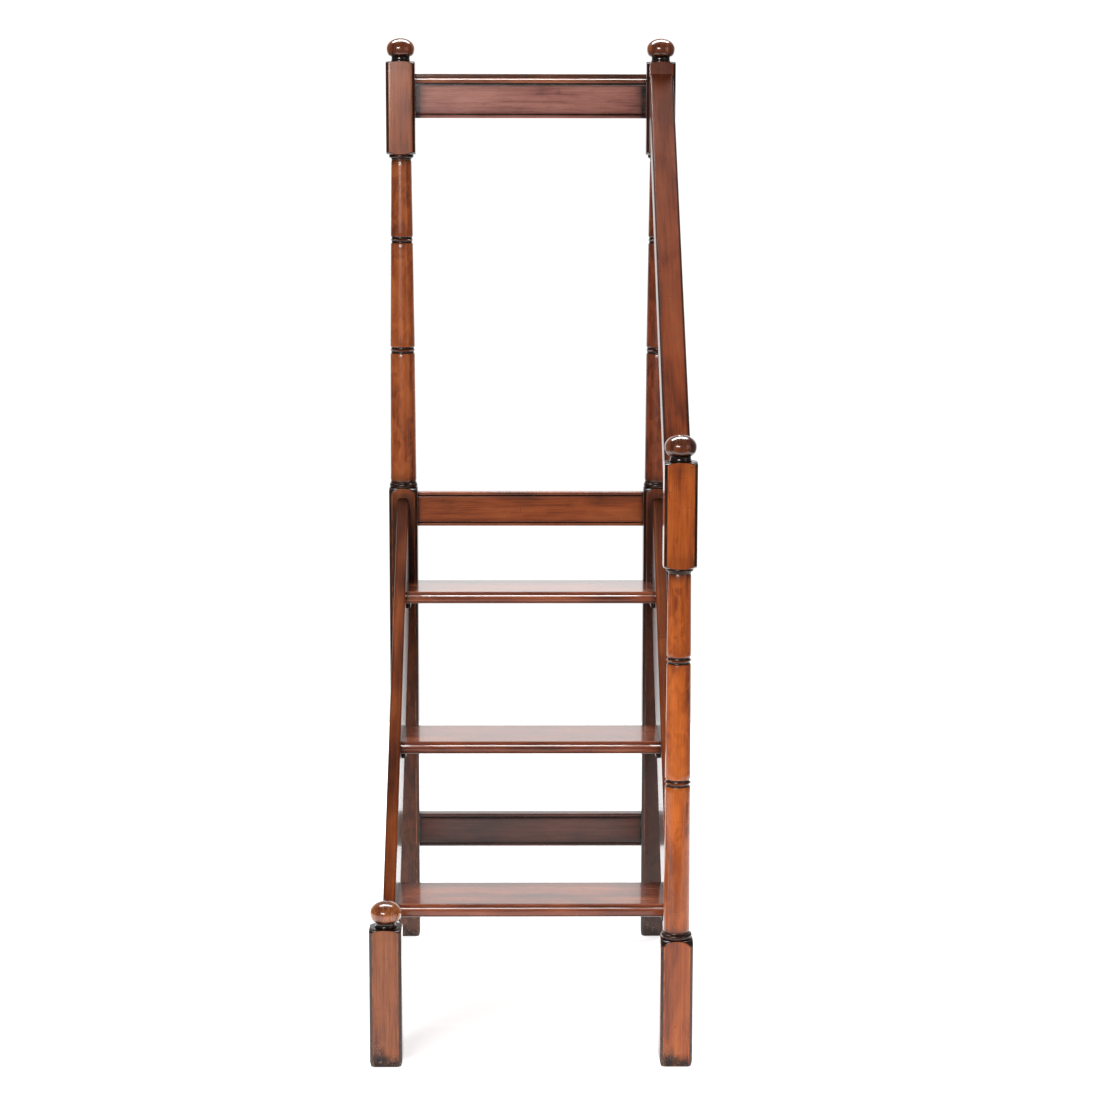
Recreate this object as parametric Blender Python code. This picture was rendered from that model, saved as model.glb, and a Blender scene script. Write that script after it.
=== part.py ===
"""Library steps: turned posts, three back rails, two housed stringers, three treads and a handrail."""

import math

import bmesh
import bpy
from mathutils import Vector

# Overall layout, in metres. +Z is up, the steps climb towards +Y, and the handrail is on the +X side.
POST_SIZE = 0.048
POST_ARRIS = 0.0045
FOOT_CHAMFER = 0.003
HALF_SPACING = 0.2145
HALF_DEPTH = 0.323
GAP = 0.0003
TURNED_SIDES = 24

# Posts and finials.
BACK_POST_TOP = 1.4860
NEWEL_POST_TOP = 0.8993
SHORT_POST_TOP = 0.2088
FINIAL_DOWEL_RADIUS = 0.0070
FINIAL_DOWEL_LENGTH = 0.025

# Treads.
FIRST_RISE = 0.212
RISE = 0.206
GOING = 0.200
TREAD_DEPTH = 0.127
TREAD_THICKNESS = 0.019
TREAD_HOUSING = 0.006

# Stringers.
STRINGER_THICKNESS = 0.019
STRINGER_WIDTH = 0.127
STRINGER_EDGE_ROUND = 0.005
STRINGER_FOOT_HEIGHT = 0.030
NOSE_SET_BACK = 0.008

# Handrail.
HANDRAIL_WIDTH = 0.0395
HANDRAIL_DEPTH = 0.048
HANDRAIL_EDGE_ROUND = 0.005
HANDRAIL_TOP_AT_BACK_POST = 1.466

# Back rails.
RAIL_THICKNESS = 0.022
RAIL_HEIGHT = 0.058
TOP_RAIL_BASE = 1.3940
TOP_RAIL_HEIGHT = 0.0537
MIDDLE_RAIL_BASE = 0.7140
LOWER_RAIL_BASE = 0.1565
CAP_HEIGHT = 0.018
CAP_THICKNESS = 0.031

# Joints.
TENON_THICKNESS = 0.010
RAIL_TENON_LENGTH = 0.020
RAIL_TENON_SHOULDER = 0.008
STUB_TENON_LENGTH = 0.014
STUB_SHOULDER = 0.020

# Cleats and their screws.
CLEAT_WIDTH = 0.0065
CLEAT_HEIGHT = 0.0095
CLEAT_LENGTH = 0.095
CLEAT_SET_BACK = 0.014
CLEAT_ARRIS = 0.0008
SCREW_INSET = 0.020
SCREW_SIDES = 8
SCREW_HEAD_RADIUS = 0.0034
SCREW_SHANK_RADIUS = 0.0017
SCREW_HEAD_DEPTH = 0.0026
SCREW_LENGTH = 0.016
SCREW_TIP = 0.004

# Finishes: base colour, roughness and metallic.
NEWEL_WOOD = ((0.37, 0.11, 0.040), 0.28, 0.0)
POST_WOOD = ((0.25, 0.075, 0.035), 0.28, 0.0)
RAIL_WOOD = ((0.22, 0.065, 0.035), 0.26, 0.0)
TREAD_WOOD = ((0.24, 0.070, 0.035), 0.22, 0.0)
STRINGER_WOOD = ((0.27, 0.080, 0.030), 0.25, 0.0)
CLEAT_WOOD = ((0.035, 0.020, 0.015), 0.45, 0.0)
SCREW_STEEL = ((0.40, 0.38, 0.34), 0.35, 1.0)

# How far a cutter runs past the face it opens, and how far a tenon runs back into its piece.
CUTTER_RUNOUT = 0.002
TENON_ROOT = 0.004

HALF_POST = POST_SIZE / 2
SLOPE = RISE / GOING
ALONG = math.cos(math.atan(SLOPE))
BACK_FACE = HALF_DEPTH - HALF_POST
FRONT_FACE = -BACK_FACE
INNER_FACE = HALF_SPACING - HALF_POST
STRINGER_INNER = HALF_SPACING - STRINGER_THICKNESS / 2
TOP_NOSE = BACK_FACE - 0.0005 - TREAD_DEPTH
SIDES = (("left", -1), ("right", 1))
TREADS = (("lower", 0), ("middle", 1), ("upper", 2))

for old in list(bpy.data.objects):
    bpy.data.objects.remove(old, do_unlink=True)

# Everything hangs from one empty, at the middle of the floor under the steps.
steps = bpy.data.objects.new("library_steps", None)
bpy.context.scene.collection.objects.link(steps)


def finish_material(name, finish):
    colour, roughness, metallic = finish
    material = bpy.data.materials.new(name + "_finish")
    material.use_nodes = True
    shader = material.node_tree.nodes["Principled BSDF"]
    shader.inputs["Base Color"].default_value = (*colour, 1.0)
    shader.inputs["Roughness"].default_value = roughness
    shader.inputs["Metallic"].default_value = metallic
    return material


def make_object(name, bm, finish=None, origin=(0, 0, 0)):
    """Turns a bmesh into an object at its origin. One with no finish is a helper that shapes others."""
    bmesh.ops.recalc_face_normals(bm, faces=bm.faces)
    bmesh.ops.translate(bm, verts=bm.verts, vec=-Vector(origin))
    mesh = bpy.data.meshes.new(name)
    bm.to_mesh(mesh)
    bm.free()
    obj = bpy.data.objects.new(name, mesh)
    obj.location = origin
    obj.parent = steps
    bpy.context.scene.collection.objects.link(obj)
    if finish is None:
        obj.hide_render = True
        obj.display_type = "WIRE"
    else:
        mesh.materials.append(finish_material(name, finish))
    return obj


def shape_with(obj, helper, operation):
    modifier = obj.modifiers.new(operation.lower() + "_" + helper.name, "BOOLEAN")
    modifier.operation = operation
    modifier.solver = "EXACT"
    modifier.object = helper


def smooth(obj):
    obj.data.shade_smooth()
    obj.data.set_sharp_from_angle(angle=math.radians(35))


def add_box(bm, low, high):
    made = bmesh.ops.create_cube(bm, size=1.0)["verts"]
    for vert in made:
        for axis in range(3):
            centre = (low[axis] + high[axis]) / 2
            vert.co[axis] = centre + vert.co[axis] * (high[axis] - low[axis])


def add_prism(bm, outline, x_low, x_high):
    """Adds the (y, z) outline, drawn out along X."""
    near = [bm.verts.new((x_low, y, z)) for y, z in outline]
    far = [bm.verts.new((x_high, y, z)) for y, z in outline]
    bm.faces.new(near)
    bm.faces.new(far)
    count = len(outline)
    for i in range(count):
        j = (i + 1) % count
        bm.faces.new((near[i], near[j], far[j], far[i]))
    return near, far


def add_turned(bm, outline, place, sides):
    """Adds a solid of revolution. outline lists (radius, distance) from end to end, and place maps
    (radius along one way, radius along the other way, distance) to a point."""
    rings = []
    for radius, distance in outline:
        if radius == 0:
            rings.append([bm.verts.new(place(0, 0, distance))])
            continue
        ring = []
        for i in range(sides):
            angle = 2 * math.pi * (i + 0.5) / sides
            ring.append(bm.verts.new(place(radius * math.cos(angle), radius * math.sin(angle), distance)))
        rings.append(ring)
    for low, high in zip(rings, rings[1:]):
        for i in range(sides):
            j = (i + 1) % sides
            if len(low) == 1:
                bm.faces.new((low[0], high[i], high[j]))
            elif len(high) == 1:
                bm.faces.new((low[i], low[j], high[0]))
            else:
                bm.faces.new((low[i], low[j], high[j], high[i]))
    for end in (rings[0], rings[-1]):
        if len(end) > 1:
            bm.faces.new(end)


def upright(x, y):
    return lambda a, b, height: (x + a, y + b, height)


def quarter(start, end, steps, outwards_first):
    """Points on a quarter ellipse from start to end, both (radius, height), without the start. It sets off
    square to the axis if outwards_first, and along the axis if not."""
    points = []
    for i in range(1, steps + 1):
        angle = math.pi / 2 * i / steps
        fast, slow = math.sin(angle), 1 - math.cos(angle)
        across, along = (fast, slow) if outwards_first else (slow, fast)
        radius = start[0] + (end[0] - start[0]) * across
        points.append((radius, start[1] + (end[1] - start[1]) * along))
    return points


def grown(outline, amount):
    """The closed (y, z) outline moved outwards by the amount, for the space that a piece fits in."""
    area = sum(a[0] * b[1] - b[0] * a[1] for a, b in zip(outline, outline[1:] + outline[:1]))
    turn = 1 if area > 0 else -1
    moved = []
    for i, here in enumerate(outline):
        before = outline[i - 1]
        after = outline[(i + 1) % len(outline)]
        normals = []
        for start, end in ((before, here), (here, after)):
            length = math.dist(start, end)
            normals.append((turn * (end[1] - start[1]) / length, turn * (start[0] - end[0]) / length))
        (ax, ay), (bx, by) = normals
        scale = amount / (1 + ax * bx + ay * by)
        moved.append((here[0] + (ax + bx) * scale, here[1] + (ay + by) * scale))
    return moved


# ---- Posts -------------------------------------------------------------------------------------

# Beyond this radius the lathe leaves the square blank alone.
CLEAR_RADIUS = 0.0345
# Where a square block ends, a domed shoulder is turned on it, from this radius out to CLEAR_RADIUS.
SHOULDER_RADIUS = 0.0225
FOOT_SHOULDER_DROP = 0.026
HEAD_BASE_SHOULDER_DROP = 0.015
HEAD_TOP_SHOULDER_DROP = 0.012
SEAT_RADIUS = 0.0190
# A pair of grooves with a bead between them: half its length, and the grooves' and bead's heights.
RING_HALF_LENGTH = 0.0062
RING_GROOVE_AT = 0.0042
RING_GROOVE_DEPTH = 0.0013
RING_BEAD_RISE = 0.0009
# A collar's length, how far its middle swells, and the cove between it and the shaft.
COLLAR_LENGTH = 0.0062
COLLAR_SWELL = 0.0004
COVE_DEPTH = 0.0006
COVE_LENGTH = 0.0068


def ring_pair(radius, height):
    """Two grooves with a bead between them, turned round the shaft."""
    groove = (radius - RING_GROOVE_DEPTH, -RING_GROOVE_AT)
    lower = [(radius, -RING_HALF_LENGTH), groove]
    lower += quarter(groove, (radius + RING_BEAD_RISE, 0.0), 2, False)
    upper = [(wide, -drop) for wide, drop in reversed(lower[:-1])]
    return [(wide, height + along) for wide, along in lower + upper]


def collar(radius, shaft_radius, base, way):
    """A rounded ring at the end of a shaft, and the small cove between them. way is +1 above a block."""
    cove = shaft_radius - COVE_DEPTH
    steps = [(radius, 0.0), (radius + COLLAR_SWELL, COLLAR_LENGTH / 2), (radius, COLLAR_LENGTH)]
    steps += [(cove, COLLAR_LENGTH + COVE_LENGTH * 0.25), (cove, COLLAR_LENGTH + COVE_LENGTH * 0.55)]
    steps.append((shaft_radius, COLLAR_LENGTH + COVE_LENGTH))
    return [(wide, base + way * along) for wide, along in steps]


def block_top(height, drop):
    start = (SHOULDER_RADIUS, height)
    return list(reversed([start] + quarter(start, (CLEAR_RADIUS, height - drop), 6, True)))


def block_bottom(height, drop):
    start = (SHOULDER_RADIUS, height)
    return [start] + quarter(start, (CLEAR_RADIUS, height + drop), 6, True)


def turned_post(foot_top, foot_collar, rings, shaft_low, shaft_high, head_collar, head_base, top):
    outline = [(CLEAR_RADIUS, -CUTTER_RUNOUT)]
    outline += block_top(foot_top, FOOT_SHOULDER_DROP)
    outline += collar(foot_collar, shaft_low, foot_top, 1)
    for radius, height in rings:
        outline += ring_pair(radius, height)
    outline += list(reversed(collar(head_collar, shaft_high, head_base, -1)))
    outline += block_bottom(head_base, HEAD_BASE_SHOULDER_DROP)
    outline += block_top(top, HEAD_TOP_SHOULDER_DROP)
    outline.append((SEAT_RADIUS, top))
    return outline


BACK_OUTLINE = turned_post(
    foot_top=0.7795,
    foot_collar=0.0230,
    rings=((0.0206, 1.0110), (0.0186, 1.1943)),
    shaft_low=0.0219,
    shaft_high=0.0170,
    head_collar=0.0200,
    head_base=1.3345,
    top=BACK_POST_TOP,
)
NEWEL_OUTLINE = turned_post(
    foot_top=0.1920,
    foot_collar=0.0225,
    rings=((0.0187, 0.4270), (0.0177, 0.6090)),
    shaft_low=0.0196,
    shaft_high=0.0169,
    head_collar=0.0196,
    head_base=0.7450,
    top=NEWEL_POST_TOP,
)
SHORT_OUTLINE = [(CLEAR_RADIUS, -CUTTER_RUNOUT)] + block_top(SHORT_POST_TOP, HEAD_TOP_SHOULDER_DROP)
SHORT_OUTLINE.append((SEAT_RADIUS, SHORT_POST_TOP))


def square_bar(x, y, height):
    """The post's square blank, with chamfered arrises and foot."""
    bm = bmesh.new()
    high = (x + HALF_POST, y + HALF_POST, height + CUTTER_RUNOUT)
    add_box(bm, (x - HALF_POST, y - HALF_POST, 0), high)
    upright_edges = [edge for edge in bm.edges if edge.calc_length() > height]
    bmesh.ops.bevel(bm, geom=upright_edges, offset=POST_ARRIS, segments=1, affect="EDGES")
    foot_edges = [edge for edge in bm.edges if all(vert.co.z < 1e-6 for vert in edge.verts)]
    bmesh.ops.bevel(bm, geom=foot_edges, offset=FOOT_CHAMFER, segments=1, affect="EDGES")
    return bm


def make_post(name, x, y, outline, finish, mortises):
    top = outline[-1][1]
    post = make_object(name, square_bar(x, y, top), finish, (x, y, 0))
    lathe = bmesh.new()
    add_turned(lathe, outline, upright(x, y), TURNED_SIDES)
    shape_with(post, make_object("turning_" + name, lathe), "INTERSECT")
    holes = bmesh.new()
    for low, high in mortises:
        add_box(holes, low, high)
    bore = ((FINIAL_DOWEL_RADIUS + GAP, top - FINIAL_DOWEL_LENGTH - 2 * GAP),)
    bore += ((FINIAL_DOWEL_RADIUS + GAP, top + CUTTER_RUNOUT),)
    add_turned(holes, bore, upright(x, y), TURNED_SIDES // 2)
    shape_with(post, make_object("mortises_" + name, holes), "DIFFERENCE")
    smooth(post)


def rail_mortise(side, base, height):
    """The hole for a back rail's tenon, in the inner face of a back post."""
    mouth = INNER_FACE - CUTTER_RUNOUT
    low_x, high_x = sorted((side * mouth, side * (INNER_FACE + RAIL_TENON_LENGTH + GAP)))
    half = TENON_THICKNESS / 2 + GAP
    low = (low_x, HALF_DEPTH - half, base + RAIL_TENON_SHOULDER - GAP)
    high = (high_x, HALF_DEPTH + half, base + height - RAIL_TENON_SHOULDER + GAP)
    return low, high


def stub_box(side, face, way, span, spare):
    """A stub tenon's box, and with spare the mortise it fits. way is the direction into the post."""
    low_y, high_y = sorted((face - way * TENON_ROOT, face + way * (STUB_TENON_LENGTH + spare)))
    half = TENON_THICKNESS / 2 + spare
    low = (side * HALF_SPACING - half, low_y, span[0] - spare)
    high = (side * HALF_SPACING + half, high_y, span[1] + spare)
    return low, high


def stringer_top_at(y):
    return FIRST_RISE + 2 * RISE + SLOPE * (y - TOP_NOSE + NOSE_SET_BACK)


def handrail_top_at(y):
    return HANDRAIL_TOP_AT_BACK_POST + SLOPE * (y - BACK_FACE)


STRINGER_DROP = STRINGER_WIDTH / ALONG
HANDRAIL_DROP = HANDRAIL_DEPTH / ALONG


def stub_span(low, high):
    """The heights that a stub tenon covers, between the ends of the piece that it stands on."""
    return (low + STUB_SHOULDER, high - STUB_SHOULDER)


STRINGER_HEAD = stub_span(stringer_top_at(BACK_FACE) - STRINGER_DROP, stringer_top_at(BACK_FACE))
STRINGER_FOOT = stub_span(STRINGER_FOOT_HEIGHT, stringer_top_at(FRONT_FACE))
HANDRAIL_HEAD = stub_span(handrail_top_at(BACK_FACE) - HANDRAIL_DROP, handrail_top_at(BACK_FACE))
HANDRAIL_FOOT = stub_span(handrail_top_at(FRONT_FACE) - HANDRAIL_DROP, handrail_top_at(FRONT_FACE))


def build_posts():
    for name, side in SIDES:
        mortises = [
            rail_mortise(side, TOP_RAIL_BASE, TOP_RAIL_HEIGHT),
            rail_mortise(side, MIDDLE_RAIL_BASE, RAIL_HEIGHT),
            rail_mortise(side, LOWER_RAIL_BASE, RAIL_HEIGHT),
            stub_box(side, BACK_FACE, 1, STRINGER_HEAD, GAP),
        ]
        if side > 0:
            mortises.append(stub_box(side, BACK_FACE, 1, HANDRAIL_HEAD, GAP))
        make_post("back_post_" + name, side * HALF_SPACING, HALF_DEPTH, BACK_OUTLINE, POST_WOOD, mortises)
    newel_mortises = [
        stub_box(1, FRONT_FACE, -1, STRINGER_FOOT, GAP),
        stub_box(1, FRONT_FACE, -1, HANDRAIL_FOOT, GAP),
    ]
    make_post("newel_post", HALF_SPACING, -HALF_DEPTH, NEWEL_OUTLINE, NEWEL_WOOD, newel_mortises)
    short_mortises = [stub_box(-1, FRONT_FACE, -1, STRINGER_FOOT, GAP)]
    make_post("short_post", -HALF_SPACING, -HALF_DEPTH, SHORT_OUTLINE, NEWEL_WOOD, short_mortises)


# ---- Finials -----------------------------------------------------------------------------------

# A waisted neck under a bun with a domed top. Heights are above the post.
NECK_RADIUS = 0.0163
NECK_WAIST_RADIUS = 0.0150
NECK_FOOT_HEIGHT = 0.0012
NECK_WAIST_HEIGHT = 0.0056
NECK_HEIGHT = 0.0086
BUN_RADIUS = 0.0232
BUN_WIDEST_AT = 0.0212
FINIAL_HEIGHT = 0.0380


def build_finials():
    spots = (
        ("back_left", -HALF_SPACING, HALF_DEPTH, BACK_POST_TOP),
        ("back_right", HALF_SPACING, HALF_DEPTH, BACK_POST_TOP),
        ("newel", HALF_SPACING, -HALF_DEPTH, NEWEL_POST_TOP),
        ("short", -HALF_SPACING, -HALF_DEPTH, SHORT_POST_TOP),
    )
    for name, x, y, base in spots:
        outline = [(FINIAL_DOWEL_RADIUS, -FINIAL_DOWEL_LENGTH), (FINIAL_DOWEL_RADIUS, GAP)]
        outline += [(NECK_RADIUS, GAP), (NECK_RADIUS, NECK_FOOT_HEIGHT)]
        outline += quarter(outline[-1], (NECK_WAIST_RADIUS, NECK_WAIST_HEIGHT), 2, True)
        outline += quarter(outline[-1], (NECK_RADIUS, NECK_HEIGHT), 2, False)
        outline += quarter(outline[-1], (BUN_RADIUS, BUN_WIDEST_AT), 4, True)
        outline += quarter(outline[-1], (0.0, FINIAL_HEIGHT), 6, False)
        outline = [(radius, base + height) for radius, height in outline[:-1]] + [(0, base + FINIAL_HEIGHT)]
        bm = bmesh.new()
        add_turned(bm, outline, upright(x, y), TURNED_SIDES)
        smooth(make_object("finial_" + name, bm, NEWEL_WOOD, (x, y, base)))


# ---- Back rails --------------------------------------------------------------------------------

# One quarter of a beaded edge: (distance in from the face, distance up from the edge).
BEAD = [(0.0030, 0.0)] + quarter((0.0030, 0.0), (0.0003, 0.0030), 2, True)
BEAD += quarter((0.0003, 0.0030), (0.0020, 0.0060), 2, False) + [(0.0, 0.0076)]


def rail_outline(base, height, top_bead):
    half = RAIL_THICKNESS / 2
    side = [(half - depth, base + up) for depth, up in BEAD]
    if top_bead:
        side += [(half - depth, base + height - up) for depth, up in reversed(BEAD)]
    else:
        side.append((half, base + height))
    return [(HALF_DEPTH + y, z) for y, z in side] + [(HALF_DEPTH - y, z) for y, z in reversed(side)]


def make_rail(name, base, height, top_bead):
    reach = INNER_FACE - GAP
    bm = bmesh.new()
    add_prism(bm, rail_outline(base, height, top_bead), -reach, reach)
    rail = make_object(name, bm, RAIL_WOOD, (0, HALF_DEPTH, base))
    tenons = bmesh.new()
    half = TENON_THICKNESS / 2
    for side in (-1, 1):
        root = INNER_FACE - TENON_ROOT
        low_x, high_x = sorted((side * root, side * (INNER_FACE + RAIL_TENON_LENGTH - GAP)))
        low = (low_x, HALF_DEPTH - half, base + RAIL_TENON_SHOULDER)
        high = (high_x, HALF_DEPTH + half, base + height - RAIL_TENON_SHOULDER)
        add_box(tenons, low, high)
    shape_with(rail, make_object("tenons_" + name, tenons), "UNION")


def build_back_rails():
    make_rail("top_rail", TOP_RAIL_BASE, TOP_RAIL_HEIGHT, False)
    make_rail("middle_rail", MIDDLE_RAIL_BASE, RAIL_HEIGHT, True)
    make_rail("lower_rail", LOWER_RAIL_BASE, RAIL_HEIGHT, True)
    # The cap's edge, from its underside up: a quirk, a torus, and a narrower band with an eased top.
    half = CAP_THICKNESS / 2
    quirk, torus, band = half - 0.0034, (half, 0.0074), (half - 0.0042, 0.0126)
    edge = [(quirk, 0.0), (quirk, 0.0030)]
    edge += quarter(edge[-1], torus, 3, True) + quarter(torus, band, 4, False)
    edge += [(half - 0.0044, 0.0168), (half - 0.0054, CAP_HEIGHT)]
    base = TOP_RAIL_BASE + TOP_RAIL_HEIGHT + GAP
    outline = [(HALF_DEPTH + y, base + z) for y, z in edge]
    outline += [(HALF_DEPTH - y, base + z) for y, z in reversed(edge)]
    bm = bmesh.new()
    add_prism(bm, outline, GAP - INNER_FACE, INNER_FACE - GAP)
    make_object("top_rail_cap", bm, RAIL_WOOD, (0, HALF_DEPTH, base))


# ---- Stringers, treads and cleats --------------------------------------------------------------


def nose_of(step):
    return TOP_NOSE - (2 - step) * GOING


def tread_top(step):
    return FIRST_RISE + step * RISE


def tread_outline(step):
    """The tread's section: a fillet and a rounded nose at the front, and a plain back edge."""
    nose = nose_of(step)
    top = tread_top(step)
    front = (
        (0.0030, 0.0),
        (0.0030, 0.0044),
        (0.0012, 0.0050),
        (0.0003, 0.0068),
        (0.0, 0.0100),
        (0.0005, 0.0140),
        (0.0020, 0.0172),
        (0.0045, TREAD_THICKNESS),
    )
    outline = [(nose + y, top - drop) for y, drop in front]
    outline.append((nose + TREAD_DEPTH, top - TREAD_THICKNESS))
    outline.append((nose + TREAD_DEPTH, top))
    return outline


def rounded_sloping_bar(outline, x_low, x_high, radius, segments, along):
    """A prism whose long sloping arrises, the edges between the named outline points, are rounded."""
    bm = bmesh.new()
    near, far = add_prism(bm, outline, x_low, x_high)
    edges = []
    for verts in (near, far):
        for start, end in along:
            edges.append(bm.edges.get((verts[start], verts[end])))
    bmesh.ops.bevel(bm, geom=edges, offset=radius, segments=segments, profile=0.5, affect="EDGES")
    return bm


def screw_outline(spare):
    """A countersunk screw's (radius, distance from its head). spare widens it into its hole."""
    outline = []
    if spare:
        outline.append((SCREW_HEAD_RADIUS + spare, -0.001))
    outline += [
        (SCREW_HEAD_RADIUS + spare, 0.0),
        (SCREW_HEAD_RADIUS + spare, 0.0004),
        (SCREW_SHANK_RADIUS + spare, SCREW_HEAD_DEPTH),
        (SCREW_SHANK_RADIUS + spare, SCREW_LENGTH - SCREW_TIP),
        (0, SCREW_LENGTH + spare),
    ]
    return outline


def screw_places(side, step):
    """Where each of a cleat's two screws starts, and how it runs out into the stringer."""
    start = CLEAT_SET_BACK + nose_of(step)
    height = tread_top(step) - TREAD_THICKNESS - GAP - CLEAT_HEIGHT / 2
    head = STRINGER_INNER - CLEAT_WIDTH
    for name, y in (("front", start + SCREW_INSET), ("back", start + CLEAT_LENGTH - SCREW_INSET)):
        yield name, lambda a, b, along, y=y: (side * (head + along), y + a, height + b)


def build_stringers():
    low_y = FRONT_FACE + GAP
    high_y = BACK_FACE - GAP
    foot_y = high_y - (stringer_top_at(high_y) - STRINGER_DROP - STRINGER_FOOT_HEIGHT) / SLOPE
    outline = [
        (high_y, stringer_top_at(high_y)),
        (high_y, stringer_top_at(high_y) - STRINGER_DROP),
        (foot_y, STRINGER_FOOT_HEIGHT),
        (low_y, STRINGER_FOOT_HEIGHT),
        (low_y, stringer_top_at(low_y)),
    ]
    for name, side in SIDES:
        low_x, high_x = sorted((side * STRINGER_INNER, side * (STRINGER_INNER + STRINGER_THICKNESS)))
        bm = rounded_sloping_bar(outline, low_x, high_x, STRINGER_EDGE_ROUND, 3, ((0, 4), (1, 2)))
        stringer = make_object("stringer_" + name, bm, STRINGER_WOOD, (side * HALF_SPACING, 0, 0))
        tenons = bmesh.new()
        add_box(tenons, *stub_box(side, BACK_FACE, 1, STRINGER_HEAD, 0.0))
        add_box(tenons, *stub_box(side, FRONT_FACE, -1, STRINGER_FOOT, 0.0))
        shape_with(stringer, make_object("tenons_stringer_" + name, tenons), "UNION")
        cuts = bmesh.new()
        for _, step in TREADS:
            mouth = STRINGER_INNER - CUTTER_RUNOUT
            ends = sorted((side * mouth, side * (STRINGER_INNER + TREAD_HOUSING + GAP)))
            add_prism(cuts, grown(tread_outline(step), GAP), *ends)
            for _, place in screw_places(side, step):
                add_turned(cuts, screw_outline(GAP), place, SCREW_SIDES)
        shape_with(stringer, make_object("cuts_stringer_" + name, cuts), "DIFFERENCE")
        smooth(stringer)


def build_treads():
    reach = STRINGER_INNER + TREAD_HOUSING
    for name, step in TREADS:
        bm = bmesh.new()
        add_prism(bm, tread_outline(step), -reach, reach)
        make_object("tread_" + name, bm, TREAD_WOOD, (0, nose_of(step), tread_top(step)))


def build_cleats():
    for step_name, step in TREADS:
        top = tread_top(step) - TREAD_THICKNESS - GAP
        start = nose_of(step) + CLEAT_SET_BACK
        for side_name, side in SIDES:
            name = step_name + "_" + side_name
            back = STRINGER_INNER - GAP
            inner, outer = sorted((side * (back - CLEAT_WIDTH), side * back))
            bm = bmesh.new()
            add_box(bm, (inner, start, top - CLEAT_HEIGHT), (outer, start + CLEAT_LENGTH, top))
            bmesh.ops.bevel(bm, geom=bm.edges[:], offset=CLEAT_ARRIS, segments=1, affect="EDGES")
            cleat = make_object("cleat_" + name, bm, CLEAT_WOOD, (side * STRINGER_INNER, start, top))
            holes = bmesh.new()
            for place_name, place in screw_places(side, step):
                add_turned(holes, screw_outline(GAP), place, SCREW_SIDES)
                screw = bmesh.new()
                add_turned(screw, screw_outline(0.0), place, SCREW_SIDES)
                screw_name = "screw_" + name + "_" + place_name
                smooth(make_object(screw_name, screw, SCREW_STEEL, place(0, 0, 0)))
            shape_with(cleat, make_object("holes_cleat_" + name, holes), "DIFFERENCE")


# ---- Handrail ----------------------------------------------------------------------------------


def build_handrail():
    low_y = FRONT_FACE + GAP
    high_y = BACK_FACE - GAP
    outline = [
        (high_y, handrail_top_at(high_y)),
        (high_y, handrail_top_at(high_y) - HANDRAIL_DROP),
        (low_y, handrail_top_at(low_y) - HANDRAIL_DROP),
        (low_y, handrail_top_at(low_y)),
    ]
    half = HANDRAIL_WIDTH / 2
    ends = (HALF_SPACING - half, HALF_SPACING + half)
    bm = rounded_sloping_bar(outline, *ends, HANDRAIL_EDGE_ROUND, 4, ((0, 3), (1, 2)))
    origin = (HALF_SPACING, BACK_FACE, HANDRAIL_TOP_AT_BACK_POST)
    handrail = make_object("handrail", bm, NEWEL_WOOD, origin)
    tenons = bmesh.new()
    add_box(tenons, *stub_box(1, BACK_FACE, 1, HANDRAIL_HEAD, 0.0))
    add_box(tenons, *stub_box(1, FRONT_FACE, -1, HANDRAIL_FOOT, 0.0))
    shape_with(handrail, make_object("tenons_handrail", tenons), "UNION")
    smooth(handrail)


build_posts()
build_finials()
build_back_rails()
build_stringers()
build_treads()
build_cleats()
build_handrail()
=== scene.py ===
"""The looks of the library steps: stained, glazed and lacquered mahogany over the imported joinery."""

import math

import bmesh
import bpy
from mathutils import Matrix, Vector


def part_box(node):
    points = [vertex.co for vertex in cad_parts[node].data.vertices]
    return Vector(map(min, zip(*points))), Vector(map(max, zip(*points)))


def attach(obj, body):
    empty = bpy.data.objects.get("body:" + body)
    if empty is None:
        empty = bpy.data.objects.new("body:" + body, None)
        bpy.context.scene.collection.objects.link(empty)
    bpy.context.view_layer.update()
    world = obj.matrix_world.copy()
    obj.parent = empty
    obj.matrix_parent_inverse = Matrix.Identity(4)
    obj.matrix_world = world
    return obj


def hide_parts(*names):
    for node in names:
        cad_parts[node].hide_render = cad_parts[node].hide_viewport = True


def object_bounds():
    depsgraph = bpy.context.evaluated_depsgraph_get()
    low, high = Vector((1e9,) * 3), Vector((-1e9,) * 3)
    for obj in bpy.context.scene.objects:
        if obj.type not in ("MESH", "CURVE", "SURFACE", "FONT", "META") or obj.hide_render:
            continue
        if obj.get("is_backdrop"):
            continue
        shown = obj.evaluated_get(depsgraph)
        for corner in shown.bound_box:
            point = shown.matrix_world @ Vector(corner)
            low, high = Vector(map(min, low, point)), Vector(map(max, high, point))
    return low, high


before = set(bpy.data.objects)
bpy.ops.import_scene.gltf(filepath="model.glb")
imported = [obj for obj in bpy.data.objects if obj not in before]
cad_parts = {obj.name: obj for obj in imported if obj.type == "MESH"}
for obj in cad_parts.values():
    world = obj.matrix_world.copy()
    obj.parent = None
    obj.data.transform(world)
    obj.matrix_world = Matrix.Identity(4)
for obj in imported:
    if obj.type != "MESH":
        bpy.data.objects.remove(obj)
cad_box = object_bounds()


# ---- Studio ----
# The steps stand on a small glowing pale floor, with a white sweep straight behind them and a dim room
# all round. A soft box beside the camera, a weak fill and a panel overhead at the back light them.

# The camera stands about four metres from the middle of the steps, at chest height.
CAMERA_PLACE = (-0.0065, -3.9841, 1.3293)
CAMERA_PITCH = math.radians(8.684)
CAMERA_YAW = math.radians(0.525)
CAMERA_ROLL = math.radians(0.085)
CAMERA_LENS = 84.01

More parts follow.
